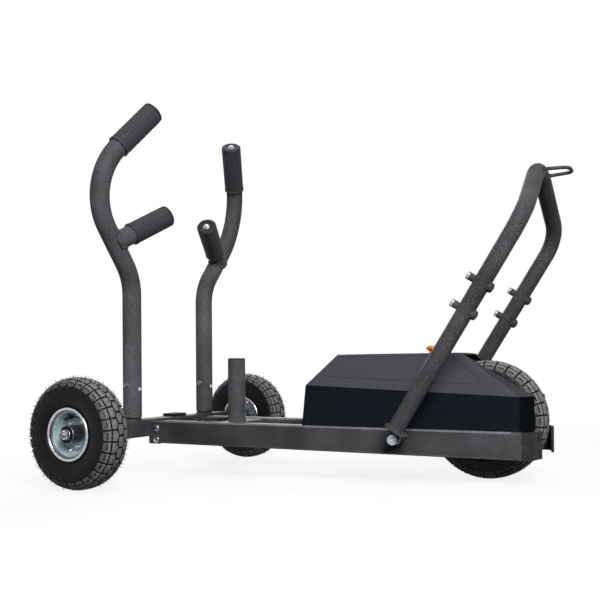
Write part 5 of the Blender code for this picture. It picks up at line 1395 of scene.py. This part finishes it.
def shrunk(ring, lift):
    """The outline moved in by the wall, at another level."""
    out = []
    for i, (x, y, z) in enumerate(ring):
        before, here, after = Vector(ring[i - 1][:2]), Vector((x, y)), Vector(ring[(i + 1) % len(ring)][:2])
        first, second = (here - before).normalized(), (after - here).normalized()
        one, two = Vector((-first.y, first.x)), Vector((-second.y, second.x))
        spot = here + (one + two) * COVER_WALL / (1 + one.dot(two))
        out.append((spot.x, spot.y, z + lift))
    return out


FOOT_RING = outline_ring(0.483, 1.0160, 1.0416, COVER_HALF, RAIL_TOP + GAP, RAIL_TOP + GAP)
SEAM_RING = outline_ring(0.4935, 1.0160, 1.0416, COVER_HALF, 0.2560, 0.2325)
TOP_RING = outline_ring(0.556, 0.868, 0.873, 0.070, 0.3320, 0.3320)


print("cover:", round((FOOT_RING[2][0] - FOOT_RING[0][0]) * 1000), "mm long")

# %% [markdown]
# The lower box stands on the rails and reaches up to the seam, where the hood begins.

# %% Lower box


def cover_box():
    seam = [(x, y, z - 0.0004) for x, y, z in SEAM_RING]
    outer = rounded_edges(drawn(FOOT_RING, seam), lambda a, b: abs((a - b).normalized().z) > 0.3, 0.003, 3)
    return faced(softened(hollowed(outer, drawn(shrunk(FOOT_RING, -0.02), shrunk(seam, 0.02))), 0.0007, 40))


finished("cover_box", cover_box(), [GLOSS_BLACK, SHADED_NOSE_BLACK], angle=12)
print("lower box:", TALLY["cover_box_dressed"], "triangles")

# %% [markdown]
# The hood's sides are twisted a little, and the groove follows them: its line is drawn straight and
# each of its points is then moved to the nearest place on the skin. A thin bar along that line cuts
# the groove. A shrinkwrap modifier could lay the line too, but would need more objects.

# %% Hood


def panel_line(side, skin):
    """Closed line around the panel on the hood's sloped side, laid on the skin."""
    corners = [(0.526, 0.1088, 0.2779), (0.941, 0.1118, 0.2579), (0.850, 0.0739, 0.3252),
               (0.568, 0.0750, 0.3251)]
    points = [mirrored(corner, side) for corner in corners]
    middle_point = (points[-1] + points[0]) / 2
    loop = filleted([middle_point] + points + [middle_point], 0.008, 15)
    laid = []
    for a, b in zip(loop, loop[1:]):
        count = max(1, round((b - a).length / 0.006))
        laid += [skin.find_nearest(a.lerp(b, i / count))[0] for i in range(count)]
    return laid


def cover_hood():
    """The hood. Its sides twist a little, so each is divided into a grid before anything is cut."""
    outer = drawn(SEAM_RING, TOP_RING)
    rounded_edges(outer, lambda a, b: not (a.z < SEAM_HIGH and b.z < SEAM_HIGH), 0.0035, 4)
    sides = sorted(outer.faces, key=lambda f: f.calc_area() * abs(f.normal.y), reverse=True)[:2]
    grid = list({e for f in sides for e in f.edges})
    bmesh.ops.subdivide_edges(outer, edges=grid, cuts=9, use_grid_fill=True)
    skin = BVHTree.FromBMesh(outer)
    made = hollowed(outer, drawn(shrunk(SEAM_RING, -0.02), shrunk(TOP_RING, -COVER_WALL)))
    for _, side in SIDES:
        made = cut(made, swept(panel_line(side, skin), 0.0011, 8, loop=True))
    return faced(softened(cut(made, shifted(bar(4.6, 300, 360, 32), KNOB_X, 0, 0)), 0.0005, 40))


finished("cover_hood", cover_hood(), [SATIN_BLACK, SHADED_SLOPE_BLACK], angle=12)
print("hood:", TALLY["cover_hood_dressed"], "triangles")

# %% [markdown]
# ### Resistance knob
# The knob is a wide orange cap with a rounded rim on a narrow neck. Its spindle and cam stay with it.

# %% Resistance knob
KNOB_FOOT = 0.3323
SPINDLE_LOW = 0.2722
skin = mm((0, 18.5), (12, 18.4), (14.6, 17.6), (16, 15.8), (16.5, 13.5), (16.3, 11.2), (15.2, 9.2), (12.8, 8),
          (10.6, 6.8), (9.8, 5), (10, 2), (10.5, 0.4), (10.2, 0), (4, 0))
knob = spun([(r, KNOB_FOOT + h) for r, h in skin] + [(0.0040, SPINDLE_LOW), (0, SPINDLE_LOW)], 72)
finished("selector_knob", shifted(knob, KNOB_X, 0, 0), [ORANGE], "selector")
print("knob:", TALLY["selector_knob_dressed"], "triangles")

# %% [markdown]
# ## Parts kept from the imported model
# The plates, brake, belt and front axle sit inside the cover, where little light reaches. Their
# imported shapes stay, and each gets the finish of what it is made of.

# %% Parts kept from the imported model
KEPT = {
    "drive_plate_right": STEEL_PLATE,
    "drive_plate_left": STEEL_PLATE,
    "front_pulley": ALUMINIUM,
    "drive_belt": PAD_RUBBER,
    "brake_shaft": BEARING_STEEL,
    "brake_disc": MACHINED,
    "brake_bearing_right": BEARING_STEEL,
    "brake_bearing_left": BEARING_STEEL,
    "magnet_carrier": ALUMINIUM,
    "front_axle": ZINC,
    "front_axle_nut": ZINC,
}
for node, finish in KEPT.items():
    materials = frame["nodes"][node].data.materials
    materials.clear()
    materials.append(finish)
print(len(KEPT), "packed parts kept")

# %% [markdown]
# ## Floor, light and camera
# The floor is plain and pale, with no texture, so that the sled's shadow is all that shows on it.
# The camera and metal see it as white, and it lights the sled only a little.

# %% Floor
ROOM_LIGHT = 0.04


def looked_at(tree):
    """1 where the camera sees a surface, itself or in metal or glass, and 0 for plain light."""
    path = add(tree, "LightPath").outputs
    seen = add(tree, "Math", {0: path["Is Camera Ray"], 1: path["Is Glossy Ray"]}, operation="MAXIMUM")
    inputs = {0: seen.outputs[0], 1: path["Is Transmission Ray"]}
    return add(tree, "Math", inputs, operation="MAXIMUM").outputs[0]


def lit_share(tree, most):
    """A little for plain light, and the most where the camera sees it."""
    inputs = {"Value": looked_at(tree), "To Min": ROOM_LIGHT, "To Max": most}
    return add(tree, "MapRange", inputs).outputs["Result"]


floor_bm = bmesh.new()
bmesh.ops.create_grid(floor_bm, x_segments=1, y_segments=1, size=9)
floor = placed("floor", as_mesh(floor_bm, "floor"))
floor.location = (0, 0, -0.0002)
floor_paint, tree, shader, place = started("floor", "f4f4f4", 0.9, shine=0.1)
tree.links.new(lit_share(tree, 0.9), shader.inputs["Base Color"])
glow = add(tree, "Emission", {"Color": colour("ffffff"), "Strength": 1.0})
mix = add(tree, "MixShader", {1: shader.outputs["BSDF"], 2: glow.outputs["Emission"]})
away = add(tree, "VectorMath", {0: place}, operation="LENGTH")
far = add(tree, "MapRange", {"Value": away.outputs["Value"], "From Min": 0.9,
                            "From Max": 2.0, "To Min": 0.85})
share = add(tree, "Math", {0: looked_at(tree), 1: far.outputs["Result"]}, operation="MULTIPLY")
tree.links.new(share.outputs[0], mix.inputs["Fac"])
tree.links.new(mix.outputs["Shader"], tree.nodes["Material Output"].inputs["Surface"])
floor.data.materials.append(floor_paint)
print("floor:", floor.dimensions.x, "m wide")

# %% [markdown]
# The room is as white as the floor to the camera and metal, and it too lights the sled only a little.
# Large soft lights stand in front, above and behind, as in a photographer's white room.

# %% Room and lights
world = bpy.data.worlds.new("white room")
bpy.context.scene.world = world
world.use_nodes = True
room = world.node_tree.nodes["Background"]
room.inputs["Color"].default_value = (1, 1, 1, 1)
world.node_tree.links.new(lit_share(world.node_tree, 1.0), room.inputs["Strength"])


AIM = (0.0, 0.0, 0.42)


def softbox(name, place, target, width, height, power):
    light = bpy.data.lights.new(name, "AREA")
    light.shape = "RECTANGLE"
    light.size, light.size_y = width, height
    light.energy = power
    made = placed(name, light)
    made.location = place
    made.rotation_euler = (Vector(target) - Vector(place)).to_track_quat("-Z", "Y").to_euler()


softbox("key", (1.62, -2.15, 1.75), AIM, 0.9, 1.6, 120)
softbox("top", (-0.2, 0.1, 3.2), (0.0, 0.0, 0.3), 1.6, 1.6, 18)
softbox("back", (-1.62, 2.15, 1.75), AIM, 0.9, 1.6, 50)
print("lights:", len(bpy.data.lights))

# %% [markdown]
# The camera stands where the photograph was taken, low on the right and ahead of the rear wheel. Its
# place, turn and lens were found from points that are easy to tell on the photograph.

# %% Camera
lens = bpy.data.cameras.new("camera")
lens.sensor_width = 36
lens.lens = 46.46
lens.shift_y = 0.11318
camera = placed("camera", lens)
camera.matrix_world = Matrix(((0.882566, 0.043211, 0.468199, 0.889962),
                              (0.468522, 0.002948, -0.883447, -1.825),
                              (-0.039555, 0.999062, -0.017644, 0.246383), (0, 0, 0, 1)))
bpy.context.scene.camera = camera
bpy.context.scene.view_settings.view_transform = "Standard"
print("lens:", lens.lens, "mm")

# %% [markdown]
# ## Triangles
# The triangles of all the dressed pieces are counted.

# %% Triangles
print("triangles in all:", sum(TALLY.values()))
